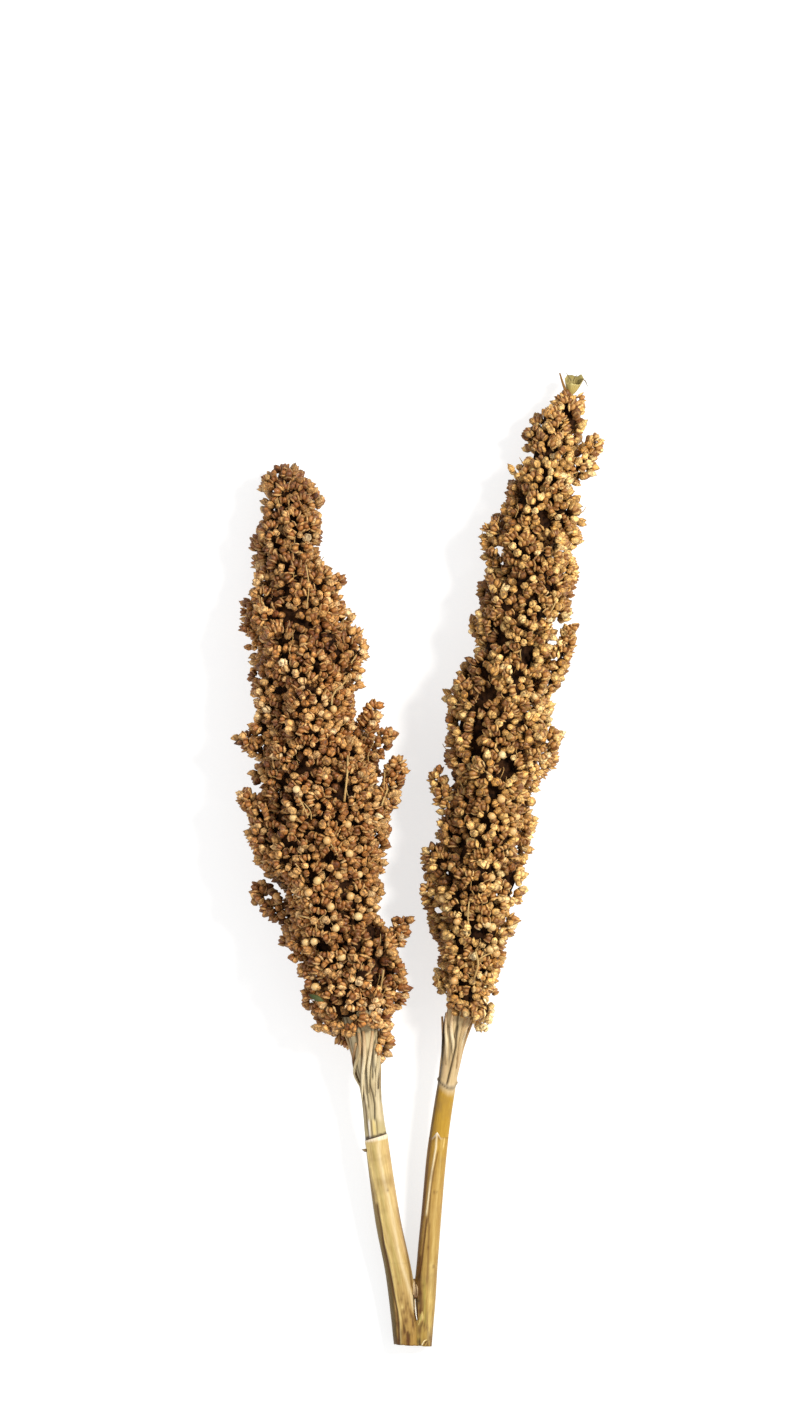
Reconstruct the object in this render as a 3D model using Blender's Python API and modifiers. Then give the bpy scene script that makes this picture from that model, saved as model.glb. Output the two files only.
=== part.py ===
"""Two dried sorghum seed heads on one forked stalk, lying on a surface.

Lengths are in metres. The stalk's own frame has its origin on the surface, under the middle of the cut end,
with +Y along the stalk towards the seed heads, +X to the right and +Z up from the surface. Everything hangs on
one empty, which puts the origin of the part at the bottom centre of its bounding box.
"""

import math
import random

import bmesh
import bpy
from mathutils import Matrix, Vector

# Where the middle of the cut end lies, so that the whole part is centred on the origin
CUT_END = (-0.0040, -0.2435, 0.0)

# Gap between pieces that touch on the real plant
CLEARANCE = 0.0003

# Stem axes, as rows of (distance from the cut end, x, height). Each goes on as the rachis inside its head.
LEFT_AXIS = (
    (-0.006, -0.0024, 0.0054),
    (0.033, -0.0068, 0.0098),
    (0.062, -0.0126, 0.0131),
    (0.103, -0.0184, 0.0177),
    (0.150, -0.0232, 0.0226),
    (0.202, -0.0345, 0.0278),
    (0.262, -0.0455, 0.0305),
    (0.342, -0.0550, 0.0275),
    (0.425, -0.0612, 0.0185),
)
RIGHT_AXIS = (
    (-0.006, 0.0035, 0.0047),
    (0.033, 0.0066, 0.0083),
    (0.062, 0.0090, 0.0109),
    (0.103, 0.0129, 0.0145),
    (0.155, 0.0212, 0.0190),
    (0.212, 0.0315, 0.0230),
    (0.292, 0.0440, 0.0258),
    (0.372, 0.0560, 0.0254),
    (0.432, 0.0670, 0.0215),
    (0.480, 0.0800, 0.0160),
)

# Stem girth, as rows of (distance from the cut end, radius). The stem steps in where its sheath starts,
# and the right stem has a collar just below its neck.
LEFT_GIRTH = (
    (-0.006, 0.0065), (0.033, 0.0069), (0.0370, 0.0068), (0.0374, 0.0055), (0.103, 0.0047),
    (0.150, 0.0044), (0.425, 0.0012),
)
RIGHT_GIRTH = (
    (-0.006, 0.0056), (0.033, 0.0061), (0.0370, 0.0059), (0.0374, 0.0046), (0.103, 0.0041),
    (0.106, 0.0048), (0.126, 0.0049), (0.128, 0.0054), (0.130, 0.0047), (0.155, 0.0042),
    (0.480, 0.0017),
)
STEM_STEP = 0.020
STEM_SIDES = 10
RACHIS_STEP = 0.045
RACHIS_SIDES = 6
RACHIS_START = 0.165

# Sheaths: outer radius at the lower and upper end, and how far each runs from the cut end
SHEATH_WALL = 0.0008
SHEATH_SLIT_HALF_ANGLE = math.radians(9)
SHEATH_NOTCH_LENGTH = 0.014
SHEATH_NOTCH_WIDENING = 2.5
SHEATH_ROWS = 5
SHEATH_POINTS = 12
LEFT_SHEATH = {"start": 0.0378, "end": 0.1040, "radii": (0.0067, 0.0058), "seam": math.radians(128)}
RIGHT_SHEATH = {"start": 0.0378, "end": 0.1045, "radii": (0.0058, 0.0057), "seam": math.radians(82)}

# Ribs on the necks: the lowest branches of each panicle, which lie against the stem before they spread
RIB_RADIUS = 0.0013
RIB_SIDES = 6
RIB_PLACES = (0, 0.4, 0.75, 1)
RIB_TAPER = (0.5, 1, 1, 0.8)
RIB_WAVES = 0.65
RIB_FLARE = 2.2
RIB_UNEVEN_TURN = 0.15
RIB_LEAST_REACH = 0.85
LEFT_RIBS = {"count": 8, "start": 0.107, "end": 0.150, "inner": 0.0046, "outer": 0.0082, "wave": 0.30}
RIGHT_RIBS = {"count": 6, "start": 0.131, "end": 0.158, "inner": 0.0043, "outer": 0.0066, "wave": 0.35}

# Torn upper end of the right rachis: thin blades that stand round it, turned by these angles
TORN_TIP = {"y": 0.4783, "length": 0.0094, "width": 0.0030, "thickness": 0.0011, "lean": math.radians(24)}
TORN_TURNS = (0.3, 2.5, 4.4)
TORN_RISE = 0.0006

# Seed heads, as rows of (distance from the cut end, left edge x, right edge x, middle height, half depth)
LEFT_OUTLINE = (
    (0.150, -0.0300, -0.0125, 0.0220, 0.0070),
    (0.160, -0.0490, -0.0090, 0.0235, 0.0150),
    (0.188, -0.0560, -0.0040, 0.0275, 0.0240),
    (0.225, -0.0740, -0.0130, 0.0300, 0.0285),
    (0.272, -0.0830, -0.0100, 0.0315, 0.0310),
    (0.310, -0.0820, -0.0160, 0.0300, 0.0295),
    (0.345, -0.0820, -0.0250, 0.0280, 0.0275),
    (0.385, -0.0800, -0.0370, 0.0235, 0.0215),
    (0.425, -0.0755, -0.0455, 0.0185, 0.0160),
    (0.441, -0.0690, -0.0560, 0.0170, 0.0065),
)
RIGHT_OUTLINE = (
    (0.156, 0.0155, 0.0275, 0.0190, 0.0060),
    (0.170, 0.0135, 0.0385, 0.0205, 0.0135),
    (0.205, 0.0095, 0.0510, 0.0230, 0.0205),
    (0.240, 0.0085, 0.0585, 0.0247, 0.0240),
    (0.290, 0.0160, 0.0670, 0.0260, 0.0255),
    (0.330, 0.0200, 0.0725, 0.0260, 0.0255),
    (0.375, 0.0310, 0.0805, 0.0250, 0.0245),
    (0.415, 0.0395, 0.0855, 0.0230, 0.0210),
    (0.450, 0.0540, 0.0870, 0.0200, 0.0155),
    (0.466, 0.0610, 0.0845, 0.0180, 0.0110),
    (0.480, 0.0740, 0.0850, 0.0165, 0.0040),
)

# Branches that stand out of the heads, as rows of (root x, root distance, tip x, tip distance, tip height)
LEFT_STRAYS = (
    (-0.0300, 0.284, -0.0185, 0.3225, 0.034),
    (-0.0180, 0.256, -0.0070, 0.2930, 0.040),
    (-0.0200, 0.186, -0.0010, 0.2120, 0.030),
    (-0.0600, 0.200, -0.0775, 0.2310, 0.028),
    (-0.0650, 0.250, -0.0870, 0.2740, 0.035),
    (-0.0680, 0.282, -0.0870, 0.3060, 0.034),
    (-0.0440, 0.364, -0.0350, 0.3870, 0.030),
    (-0.0440, 0.166, -0.0270, 0.1450, 0.014),
    (-0.0200, 0.162, -0.0140, 0.1430, 0.022),
)
RIGHT_STRAYS = (
    (0.0640, 0.325, 0.0815, 0.3590, 0.029),
    (0.0760, 0.426, 0.0945, 0.4560, 0.021),
    (0.0250, 0.255, 0.0115, 0.2880, 0.030),
    (0.0210, 0.202, 0.0055, 0.2300, 0.024),
    (0.0580, 0.284, 0.0725, 0.3070, 0.035),
    (0.0270, 0.174, 0.0385, 0.1580, 0.018),
)
STRAY_BUDS = 3
STRAY_BUD_RADIUS = 0.0046
STRAY_OVERLAP = 0.4
STRAY_SPREAD = 0.25

# Husked grains, larger than life so that a few hundred cover a head
BUD_SPACING = 0.0160
BUD_LENGTH = 0.0165
BUD_RADIUS = 0.0074
BUD_SIDES = 5
BUD_WIDEST = 0.5
BUD_ROOT_SHARE = 0.35
BUD_SUNK = 0.0078
BUD_UNEVENNESS = 0.0022
CORE_INSET = 0.0078
CORE_SIDES = 10
CORE_STEP = 0.032
CORE_START = 0.003
CORE_END = 0.004
LEAST_HALF_WIDTH = 0.0012
BUD_UNEVEN_SIZE = 0.12
BUD_UNEVEN_TURN = 0.05
LOWEST_BUD = -0.0007
LOW_POINT_SHARE = 0.6
LOW_RADIUS_SHARE = 0.8

# How far a grain points up the stalk: out at the bottom of a head, up after a short way, along it at the top
LEAN_AT_BOTTOM = math.radians(8)
LEAN_FURTHER = math.radians(34)
LEAN_RISE_SHARE = 0.25
LEAN_TOP_SHARE = 0.1
LEAN_UNEVENNESS = 0.2

# Seeds of the random draws
SEEDS = {"left_ribs": 3, "right_ribs": 5, "left_head": 11, "right_head": 23}

# Blocks that trim what reaches under the surface or past the cut end: centre and size
TRIMS = {
    "under_surface": ((0, 0.24, -0.05), (0.4, 0.7, 0.1)),
    "behind_cut": ((0, -0.05, 0.05), (0.2, 0.1, 0.2)),
}

TANGENT_STEP = 0.002
GOLDEN_ANGLE = math.pi * (3 - math.sqrt(5))
UP_THE_STALK = Vector((0, 1, 0))


def clear_scene():
    for old in list(bpy.data.objects):
        bpy.data.objects.remove(old, do_unlink=True)


def new_collection(name):
    made = bpy.data.collections.new(name)
    bpy.context.scene.collection.children.link(made)
    return made


def material(name, colour, roughness):
    made = bpy.data.materials.new(name)
    made.use_nodes = True
    shader = made.node_tree.nodes["Principled BSDF"]
    shader.inputs["Base Color"].default_value = (*colour, 1)
    shader.inputs["Roughness"].default_value = roughness
    shader.inputs["Metallic"].default_value = 0
    return made


def between(rows, y):
    """The row's values at distance y, on a straight line between the two rows round it."""
    if y <= rows[0][0]:
        return rows[0][1:]
    for low, high in zip(rows, rows[1:]):
        if y <= high[0]:
            share = (y - low[0]) / (high[0] - low[0])
            return tuple(a + (b - a) * share for a, b in zip(low[1:], high[1:]))
    return rows[-1][1:]


def smooth(rows, y):
    """The same, on a smooth curve through the rows (Catmull-Rom)."""
    last = len(rows) - 2
    at = next((i for i in range(last) if y <= rows[i + 1][0]), last)
    before, low, high, after = rows[max(at - 1, 0)], rows[at], rows[at + 1], rows[min(at + 2, last + 1)]
    width = high[0] - low[0]
    t = min(max((y - low[0]) / width, 0.0), 1.0)
    values = []
    for k in range(1, len(low)):
        slope_low = (high[k] - before[k]) / (high[0] - before[0]) * width
        slope_high = (after[k] - low[k]) / (after[0] - low[0]) * width
        values.append(
            low[k] * (2 * t**3 - 3 * t**2 + 1)
            + slope_low * (t**3 - 2 * t**2 + t)
            + high[k] * (3 * t**2 - 2 * t**3)
            + slope_high * (t**3 - t**2)
        )
    return tuple(values)


def square_to(axis, y):
    """The axis's point at distance y and two directions square to the axis there, one level and one up."""
    x, z = smooth(axis, y)
    ahead_x, ahead_z = smooth(axis, y + TANGENT_STEP)
    along = Vector((ahead_x - x, TANGENT_STEP, ahead_z - z)).normalized()
    level = along.cross(Vector((0, 0, 1))).normalized()
    return Vector((x, y, z)), level, level.cross(along)


def tube(name, points, radii, sides, collection):
    """A closed round rod through the points, with a radius at each, as a mesh with welded caps."""
    data = bpy.data.curves.new(name, "CURVE")
    data.dimensions = "3D"
    data.bevel_depth = 1.0
    data.bevel_resolution = sides // 2 - 2
    data.use_fill_caps = True
    spline = data.splines.new("POLY")
    spline.points.add(len(points) - 1)
    for point, place, radius in zip(spline.points, points, radii):
        point.co = (*place, 1)
        point.radius = radius
    rod = bpy.data.objects.new(name, data)
    collection.objects.link(rod)
    graph = bpy.context.evaluated_depsgraph_get()
    mesh = bpy.data.meshes.new_from_object(rod.evaluated_get(graph))
    bpy.data.objects.remove(rod)
    bpy.data.curves.remove(data)
    weld(mesh)
    return add_mesh(name, mesh, collection)


def weld(mesh):
    bm = bmesh.new()
    bm.from_mesh(mesh)
    bmesh.ops.remove_doubles(bm, verts=bm.verts, dist=1e-6)
    bmesh.ops.recalc_face_normals(bm, faces=bm.faces)
    bm.to_mesh(mesh)
    bm.free()


def add_mesh(name, mesh, collection):
    made = bpy.data.objects.new(name, mesh)
    collection.objects.link(made)
    return made


def boolean(target, other, operation):
    """Adds, takes away or keeps what target shares with an object or a collection."""
    modifier = target.modifiers.new(operation.title(), "BOOLEAN")
    modifier.operation = operation
    modifier.solver = "MANIFOLD"
    if isinstance(other, bpy.types.Collection):
        modifier.operand_type = "COLLECTION"
        modifier.collection = other
    else:
        modifier.object = other


def applied(target, name, collection):
    """Target with its modifiers applied, as a new object of that name that holds the largest body."""
    bpy.context.view_layer.update()
    graph = bpy.context.evaluated_depsgraph_get()
    mesh = bpy.data.meshes.new_from_object(target.evaluated_get(graph))
    keep_largest_body(mesh)
    bpy.data.objects.remove(target)
    return add_mesh(name, mesh, collection)


def keep_largest_body(mesh):
    """Drops the loose scraps that a cut can leave."""
    bm = bmesh.new()
    bm.from_mesh(mesh)
    bmesh.ops.triangulate(bm, faces=bm.faces)
    unseen = set(bm.faces)
    bodies = []
    while unseen:
        body = [unseen.pop()]
        for face in body:
            for edge in face.edges:
                linked = unseen.intersection(edge.link_faces)
                unseen -= linked
                body.extend(linked)
        bodies.append(body)
    bodies.sort(key=len)
    scraps = [face for body in bodies[:-1] for face in body]
    bmesh.ops.delete(bm, geom=scraps, context="FACES")
    bm.to_mesh(mesh)
    bm.free()


def remove_collection(collection):
    for member in list(collection.objects):
        bpy.data.objects.remove(member)
    bpy.data.collections.remove(collection)


def below_surface(collection):
    """A block under the surface and one behind the cut end, which trim what reaches past them."""
    trims = []
    for name, (centre, size) in TRIMS.items():
        bpy.ops.mesh.primitive_cube_add(size=1, location=centre)
        block = bpy.context.object
        block.name = name
        block.data.transform(Matrix.Diagonal((*size, 1)))
        block.hide_render = True
        block.display_type = "WIRE"
        for owner in block.users_collection:
            owner.objects.unlink(block)
        collection.objects.link(block)
        trims.append(block)
    return trims


def steps(start, end, step):
    count = max(2, round((end - start) / step))
    return [start + (end - start) * i / count for i in range(count + 1)]


def stem_rods(axis, girth, extra, collection):
    """The stem and, thinner and with fewer sides, the rachis that carries it on through the head."""
    breaks = [y for y, _ in girth if y <= RACHIS_START + STEM_STEP]
    lower = sorted(set(steps(axis[0][0], RACHIS_START + STEM_STEP, STEM_STEP) + breaks))
    upper = steps(RACHIS_START, axis[-1][0], RACHIS_STEP)
    rods = []
    for distances, sides in ((lower, STEM_SIDES), (upper, RACHIS_SIDES)):
        points = [Vector((x, y, z)) for y in distances for x, z in [smooth(axis, y)]]
        radii = [between(girth, y)[0] + extra for y in distances]
        if extra:
            points[-1] += UP_THE_STALK * extra
        rods.append(tube("stem", points, radii, sides, collection))
    return rods


def add_ribs(axis, ribs, extra, seed, collection):
    """The branches that lie against the neck, waving a little, and spread at its top."""
    draw = random.Random(seed)
    for i in range(ribs["count"]):
        start_angle = 2 * math.pi * i / ribs["count"] + draw.uniform(-RIB_UNEVEN_TURN, RIB_UNEVEN_TURN)
        wave = draw.uniform(-ribs["wave"], ribs["wave"])
        reach = draw.uniform(RIB_LEAST_REACH, 1.0)
        points = []
        for t in RIB_PLACES:
            y = ribs["start"] + (ribs["end"] - ribs["start"]) * t
            middle, level, up = square_to(axis, y)
            angle = start_angle + wave * math.sin(2 * math.pi * RIB_WAVES * t)
            radius = ribs["inner"] + (ribs["outer"] * reach - ribs["inner"]) * t**RIB_FLARE
            points.append(middle + (level * math.cos(angle) + up * math.sin(angle)) * radius)
        if extra:
            points[-1] += UP_THE_STALK * extra
        thickness = [RIB_RADIUS * share + extra for share in RIB_TAPER]
        tube("rib", points, thickness, RIB_SIDES, collection)


def add_torn_tip(extra, collection):
    """The ragged end of the right rachis."""
    x, z = smooth(RIGHT_AXIS, RIGHT_AXIS[-1][0])
    for turn in TORN_TURNS:
        bm = bmesh.new()
        bmesh.ops.create_icosphere(bm, subdivisions=1, radius=1)
        size = (TORN_TIP["width"], TORN_TIP["length"] / 2, TORN_TIP["thickness"])
        bmesh.ops.scale(bm, vec=[s + extra for s in size], verts=bm.verts)
        bmesh.ops.translate(bm, vec=(0, TORN_TIP["length"] / 2, TORN_RISE), verts=bm.verts)
        lean = Matrix.Rotation(TORN_TIP["lean"], 4, "X")
        place = Matrix.Translation((x, TORN_TIP["y"], z)) @ Matrix.Rotation(turn, 4, "Y") @ lean
        bmesh.ops.transform(bm, matrix=place, verts=bm.verts)
        mesh = bpy.data.meshes.new("blade")
        bm.to_mesh(mesh)
        bm.free()
        add_mesh("blade", mesh, collection)


def culm_solid(name, extra, collection):
    """Both stems with their ribs and rachises in one body, grown by extra all round where it is a cutter."""
    pieces = new_collection(name + "_pieces")
    rods = stem_rods(LEFT_AXIS, LEFT_GIRTH, extra, pieces)
    rods += stem_rods(RIGHT_AXIS, RIGHT_GIRTH, extra, pieces)
    add_ribs(LEFT_AXIS, LEFT_RIBS, extra, SEEDS["left_ribs"], pieces)
    add_ribs(RIGHT_AXIS, RIGHT_RIBS, extra, SEEDS["right_ribs"], pieces)
    add_torn_tip(extra, pieces)
    trunk = rods[0]
    pieces.objects.unlink(trunk)
    collection.objects.link(trunk)
    boolean(trunk, pieces, "UNION")
    made = applied(trunk, name, collection)
    remove_collection(pieces)
    return made


def culm(trims, parts):
    whole = culm_solid("culm", 0.0, parts)
    for trim in trims:
        boolean(whole, trim, "DIFFERENCE")
    return applied(whole, "culm", parts)


def sheath(name, axis, facts, parts):
    """A leaf sheath: an open strip wrapped round the stem, with a slit that widens to a notch at the top."""
    bm = bmesh.new()
    rows = []
    for i in range(SHEATH_ROWS + 1):
        share = i / SHEATH_ROWS
        y = facts["start"] + (facts["end"] - facts["start"]) * share
        middle, level, up = square_to(axis, y)
        radius = facts["radii"][0] + (facts["radii"][1] - facts["radii"][0]) * share
        to_top = facts["end"] - y
        widening = max(0.0, 1 - to_top / SHEATH_NOTCH_LENGTH)
        slit = SHEATH_SLIT_HALF_ANGLE * (1 + SHEATH_NOTCH_WIDENING * widening)
        row = []
        for j in range(SHEATH_POINTS):
            angle = facts["seam"] + slit + (2 * math.pi - 2 * slit) * j / (SHEATH_POINTS - 1)
            row.append(bm.verts.new(middle + (level * math.cos(angle) + up * math.sin(angle)) * radius))
        rows.append([bm.edges.new(pair) for pair in zip(row, row[1:])])
    for lower, upper in zip(rows, rows[1:]):
        bmesh.ops.bridge_loops(bm, edges=lower + upper)
    bmesh.ops.recalc_face_normals(bm, faces=bm.faces)
    first = bm.faces[:][0]
    place = first.calc_center_median()
    if first.normal.dot(place - square_to(axis, place.y)[0]) < 0:
        bmesh.ops.reverse_faces(bm, faces=bm.faces)
    mesh = bpy.data.meshes.new(name)
    bm.to_mesh(mesh)
    bm.free()
    made = add_mesh(name, mesh, parts)
    wall = made.modifiers.new("Wall", "SOLIDIFY")
    wall.thickness = SHEATH_WALL
    wall.offset = -1
    return made


def outline_at(outline, y, angle, inset=0.0):
    """The point of a head's skin at a distance and an angle round it, and the outward direction there."""
    left, right, height, depth = smooth(outline, y)
    across = max((right - left) / 2 - inset, LEAST_HALF_WIDTH)
    through = max(depth - inset, LEAST_HALF_WIDTH)
    place = Vector(((left + right) / 2 + across * math.cos(angle), y, height + through * math.sin(angle)))
    outward = Vector((math.cos(angle) / across, 0, math.sin(angle) / through)).normalized()
    return place, outward


def round_the_head(outline, spacing, seed):
    """Evenly spread (distance, angle) places, as on a sunflower's spiral, closer where the head is thin."""
    draw = random.Random(seed)
    places = []
    y = outline[0][0] + spacing * 0.3
    angle = draw.uniform(0, 2 * math.pi)
    while y < outline[-1][0]:
        left, right, _, depth = smooth(outline, y)
        girth = math.pi * ((right - left) / 2 + depth)
        y += spacing**2 / max(girth, spacing)
        angle += GOLDEN_ANGLE
        places.append((y, angle))
    return places


def core_mesh(name, outline):
    """The dense middle of a head, which the husked grains stand out of."""
    bm = bmesh.new()
    rings = []
    first, last = outline[0][0] + CORE_START, outline[-1][0] - CORE_END
    for y in steps(first, last, CORE_STEP):
        ring = []
        for j in range(CORE_SIDES):
            place, _ = outline_at(outline, y, 2 * math.pi * j / CORE_SIDES, CORE_INSET)
            ring.append(bm.verts.new(place))
        rings.append([bm.edges.new((ring[j], ring[j - 1])) for j in range(CORE_SIDES)])
    for lower, upper in zip(rings, rings[1:]):
        bmesh.ops.bridge_loops(bm, edges=lower + upper)
    for ring in (rings[0], rings[-1]):
        bmesh.ops.contextual_create(bm, geom=ring)
    bmesh.ops.triangulate(bm, faces=bm.faces)
    bmesh.ops.recalc_face_normals(bm, faces=bm.faces)
    mesh = bpy.data.meshes.new(name)
    bm.to_mesh(mesh)
    bm.free()
    return mesh


def bud_mesh():
    """One husked grain, pointed at both ends: its root at the origin, its tip 1 up +Z, and 1 in radius."""
    bm = bmesh.new()
    bmesh.ops.create_cone(
        bm, cap_ends=True, segments=BUD_SIDES, radius1=1, radius2=0, depth=1 - BUD_WIDEST,
        matrix=Matrix.Translation((0, 0, (1 + BUD_WIDEST) / 2)),
    )
    bottom = min(bm.faces, key=lambda face: face.calc_center_median().z)
    root = bmesh.ops.poke(bm, faces=[bottom])["verts"][0]
    root.co.z = 0
    mesh = bpy.data.meshes.new("bud")
    bm.to_mesh(mesh)
    bm.free()
    return mesh


def place_bud(mesh, root, direction, length, radius, draw, collection):
    bud = bpy.data.objects.new("bud", mesh)
    turn = direction.to_track_quat("Z", "Y").to_matrix().to_4x4()
    roll = Matrix.Rotation(draw.uniform(0, 2 * math.pi), 4, "Z")
    bud.matrix_world = Matrix.Translation(root) @ turn @ roll @ Matrix.Diagonal((radius, radius, length, 1))
    collection.objects.link(bud)


def settled(root, direction, size):
    """Lifts a bud that would reach far under the surface, as the grains underneath are pressed up."""
    belly = root + direction * BUD_LENGTH * size * LOW_POINT_SHARE
    lowest = min(root.z, belly.z - BUD_RADIUS * size * LOW_RADIUS_SHARE)
    return root + Vector((0, 0, max(0.0, LOWEST_BUD - lowest)))


def lean_at(outline, y, draw):
    """The angle by which a grain at distance y points up the stalk."""
    share = (y - outline[0][0]) / (outline[-1][0] - outline[0][0])
    risen = min(share / LEAN_RISE_SHARE, 1)
    topped = max(0.0, share - 1 + LEAN_TOP_SHARE) / LEAN_TOP_SHARE
    uneven = draw.uniform(-LEAN_UNEVENNESS, LEAN_UNEVENNESS)
    return LEAN_AT_BOTTOM + LEAN_FURTHER * (risen + topped) + uneven


def cover_with_buds(outline, seed, mesh, collection):
    draw = random.Random(seed)
    for y, angle in round_the_head(outline, BUD_SPACING, seed + 2):
        size = 1 + draw.uniform(-BUD_UNEVEN_SIZE, BUD_UNEVEN_SIZE)
        sunk = BUD_SUNK + draw.uniform(-BUD_UNEVENNESS, BUD_UNEVENNESS)
        turned = angle + draw.uniform(-BUD_UNEVEN_TURN, BUD_UNEVEN_TURN)
        place, outward = outline_at(outline, y, turned, sunk)
        lean = lean_at(outline, y, draw)
        direction = (outward * math.cos(lean) + UP_THE_STALK * math.sin(lean)).normalized()
        root = settled(place - direction * BUD_LENGTH * BUD_ROOT_SHARE, direction, size)
        past_the_top = (root + direction * BUD_LENGTH * size).y - outline[-1][0]
        root.y -= max(0.0, past_the_top)
        place_bud(mesh, root, direction, BUD_LENGTH * size, BUD_RADIUS * size, draw, collection)


def add_strays(outline, strays, seed, mesh, collection):
    """The branches that stand out, each a row of overlapping grains that starts deep in the head."""
    draw = random.Random(seed)
    for root_x, root_y, tip_x, tip_y, tip_z in strays:
        _, _, height, _ = smooth(outline, root_y)
        root = Vector((root_x, root_y, (height + tip_z) / 2))
        tip = Vector((tip_x, tip_y, tip_z))
        along = (tip - root).normalized()
        side = along.orthogonal() * STRAY_SPREAD
        length = (tip - root).length / (STRAY_BUDS - STRAY_OVERLAP * (STRAY_BUDS - 1))
        for i in range(STRAY_BUDS):
            start = root + along * length * (1 - STRAY_OVERLAP) * i
            direction = (along + side * (1 - i / (STRAY_BUDS - 1))).normalized()
            place_bud(mesh, start, direction, length, STRAY_BUD_RADIUS, draw, collection)
            side.rotate(Matrix.Rotation(GOLDEN_ANGLE, 3, along))


def seed_head(name, outline, strays, seed, cutters, parts):
    """Core, grains and stray branches in one body, round the rachis and trimmed where it lies."""
    pieces = new_collection(name + "_pieces")
    mesh = bud_mesh()
    cover_with_buds(outline, seed, mesh, pieces)
    add_strays(outline, strays, seed + 3, mesh, pieces)
    whole = add_mesh(name, core_mesh(name, outline), parts)
    boolean(whole, pieces, "UNION")
    for cutter in cutters:
        boolean(whole, cutter, "DIFFERENCE")
    made = applied(whole, name, parts)
    remove_collection(pieces)
    return made


def finish(made, look, origin):
    made.data.materials.clear()
    made.data.materials.append(look)
    made.data.shade_smooth()
    made.data.set_sharp_from_angle(angle=math.radians(35))
    made.parent = origin


def main():
    clear_scene()
    parts = new_collection("sorghum_seed_heads")
    helpers = new_collection("cutters")
    straw = material("dry_straw", (0.62, 0.47, 0.24), 0.55)
    golden = material("golden_sheath", (0.66, 0.46, 0.16), 0.42)
    husk = material("husked_grain", (0.42, 0.24, 0.10), 0.7)
    origin = bpy.data.objects.new("cut_end", None)
    parts.objects.link(origin)
    origin.location = CUT_END

    trims = below_surface(helpers)
    room_for_culm = culm_solid("room_for_culm", CLEARANCE, helpers)
    room_for_culm.hide_render = True
    room_for_culm.display_type = "WIRE"
    cutters = [room_for_culm, trims[0]]
    finish(culm(trims, parts), straw, origin)
    finish(sheath("sheath_left", LEFT_AXIS, LEFT_SHEATH, parts), golden, origin)
    finish(sheath("sheath_right", RIGHT_AXIS, RIGHT_SHEATH, parts), golden, origin)
    left = seed_head("head_left", LEFT_OUTLINE, LEFT_STRAYS, SEEDS["left_head"], cutters, parts)
    right = seed_head("head_right", RIGHT_OUTLINE, RIGHT_STRAYS, SEEDS["right_head"], cutters, parts)
    finish(left, husk, origin)
    finish(right, husk, origin)


main()
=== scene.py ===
import random
from itertools import product
from math import cos, degrees, exp, hypot, pi, radians, sin, sqrt

import bmesh
import bpy
import numpy as np
from mathutils import Matrix, Vector, noise
from mathutils.geometry import intersect_point_line


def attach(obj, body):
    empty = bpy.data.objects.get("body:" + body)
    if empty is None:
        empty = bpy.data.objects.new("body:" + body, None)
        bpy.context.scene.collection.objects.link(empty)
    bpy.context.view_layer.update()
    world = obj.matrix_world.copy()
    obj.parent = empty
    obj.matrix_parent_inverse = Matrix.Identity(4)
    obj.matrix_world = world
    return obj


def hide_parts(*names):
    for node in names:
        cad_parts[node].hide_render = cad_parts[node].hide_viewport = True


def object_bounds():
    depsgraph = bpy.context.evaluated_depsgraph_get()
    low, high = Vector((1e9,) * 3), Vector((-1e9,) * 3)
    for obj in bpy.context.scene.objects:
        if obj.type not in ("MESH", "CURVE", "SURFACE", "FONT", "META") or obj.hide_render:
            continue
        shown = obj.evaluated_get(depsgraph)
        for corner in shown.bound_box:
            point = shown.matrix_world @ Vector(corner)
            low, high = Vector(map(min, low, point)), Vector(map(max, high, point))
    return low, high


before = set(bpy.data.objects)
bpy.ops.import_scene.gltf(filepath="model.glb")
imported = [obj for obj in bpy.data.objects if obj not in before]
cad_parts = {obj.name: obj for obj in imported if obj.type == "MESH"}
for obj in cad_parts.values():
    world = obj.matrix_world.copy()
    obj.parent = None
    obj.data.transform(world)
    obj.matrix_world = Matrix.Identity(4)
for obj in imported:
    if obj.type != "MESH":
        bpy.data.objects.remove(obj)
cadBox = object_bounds()
print("frame loaded:", ", ".join(sorted(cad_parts)))

# where the cut end of the stalk lies; places are measured from there, in metres if not said
cutEnd = Vector((-0.0040, -0.2435, 0.0))
upStalk = Vector((0, 1, 0))
goldenAngle = pi * (3 - sqrt(5))
mm = 0.001


def inMetres(table):
    return {side: [[value / 1000 for value in row] for row in rows] for side, rows in table.items()}


# in millimetres: distance from the cut end, x, height
stemAxis = inMetres({
    "left": (
        (-6, -2.4, 5.4), (33, -6.8, 9.8), (62, -12.6, 13.1), (103, -18.4, 17.7), (150, -24.2, 22.6),
        (202, -34.5, 27.8), (262, -45.5, 30.5), (342, -55, 27.5), (425, -61.2, 18.5),
    ),
    "right": (
        (-6, 3.5, 4.7), (33, 6.6, 8.3), (62, 9, 10.9), (103, 12.9, 14.5), (155, 21.2, 19), (212, 31.5, 23),
        (292, 44, 25.8), (372, 56, 25.4), (432, 67, 21.5), (480, 80, 16),
    ),
})

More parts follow.
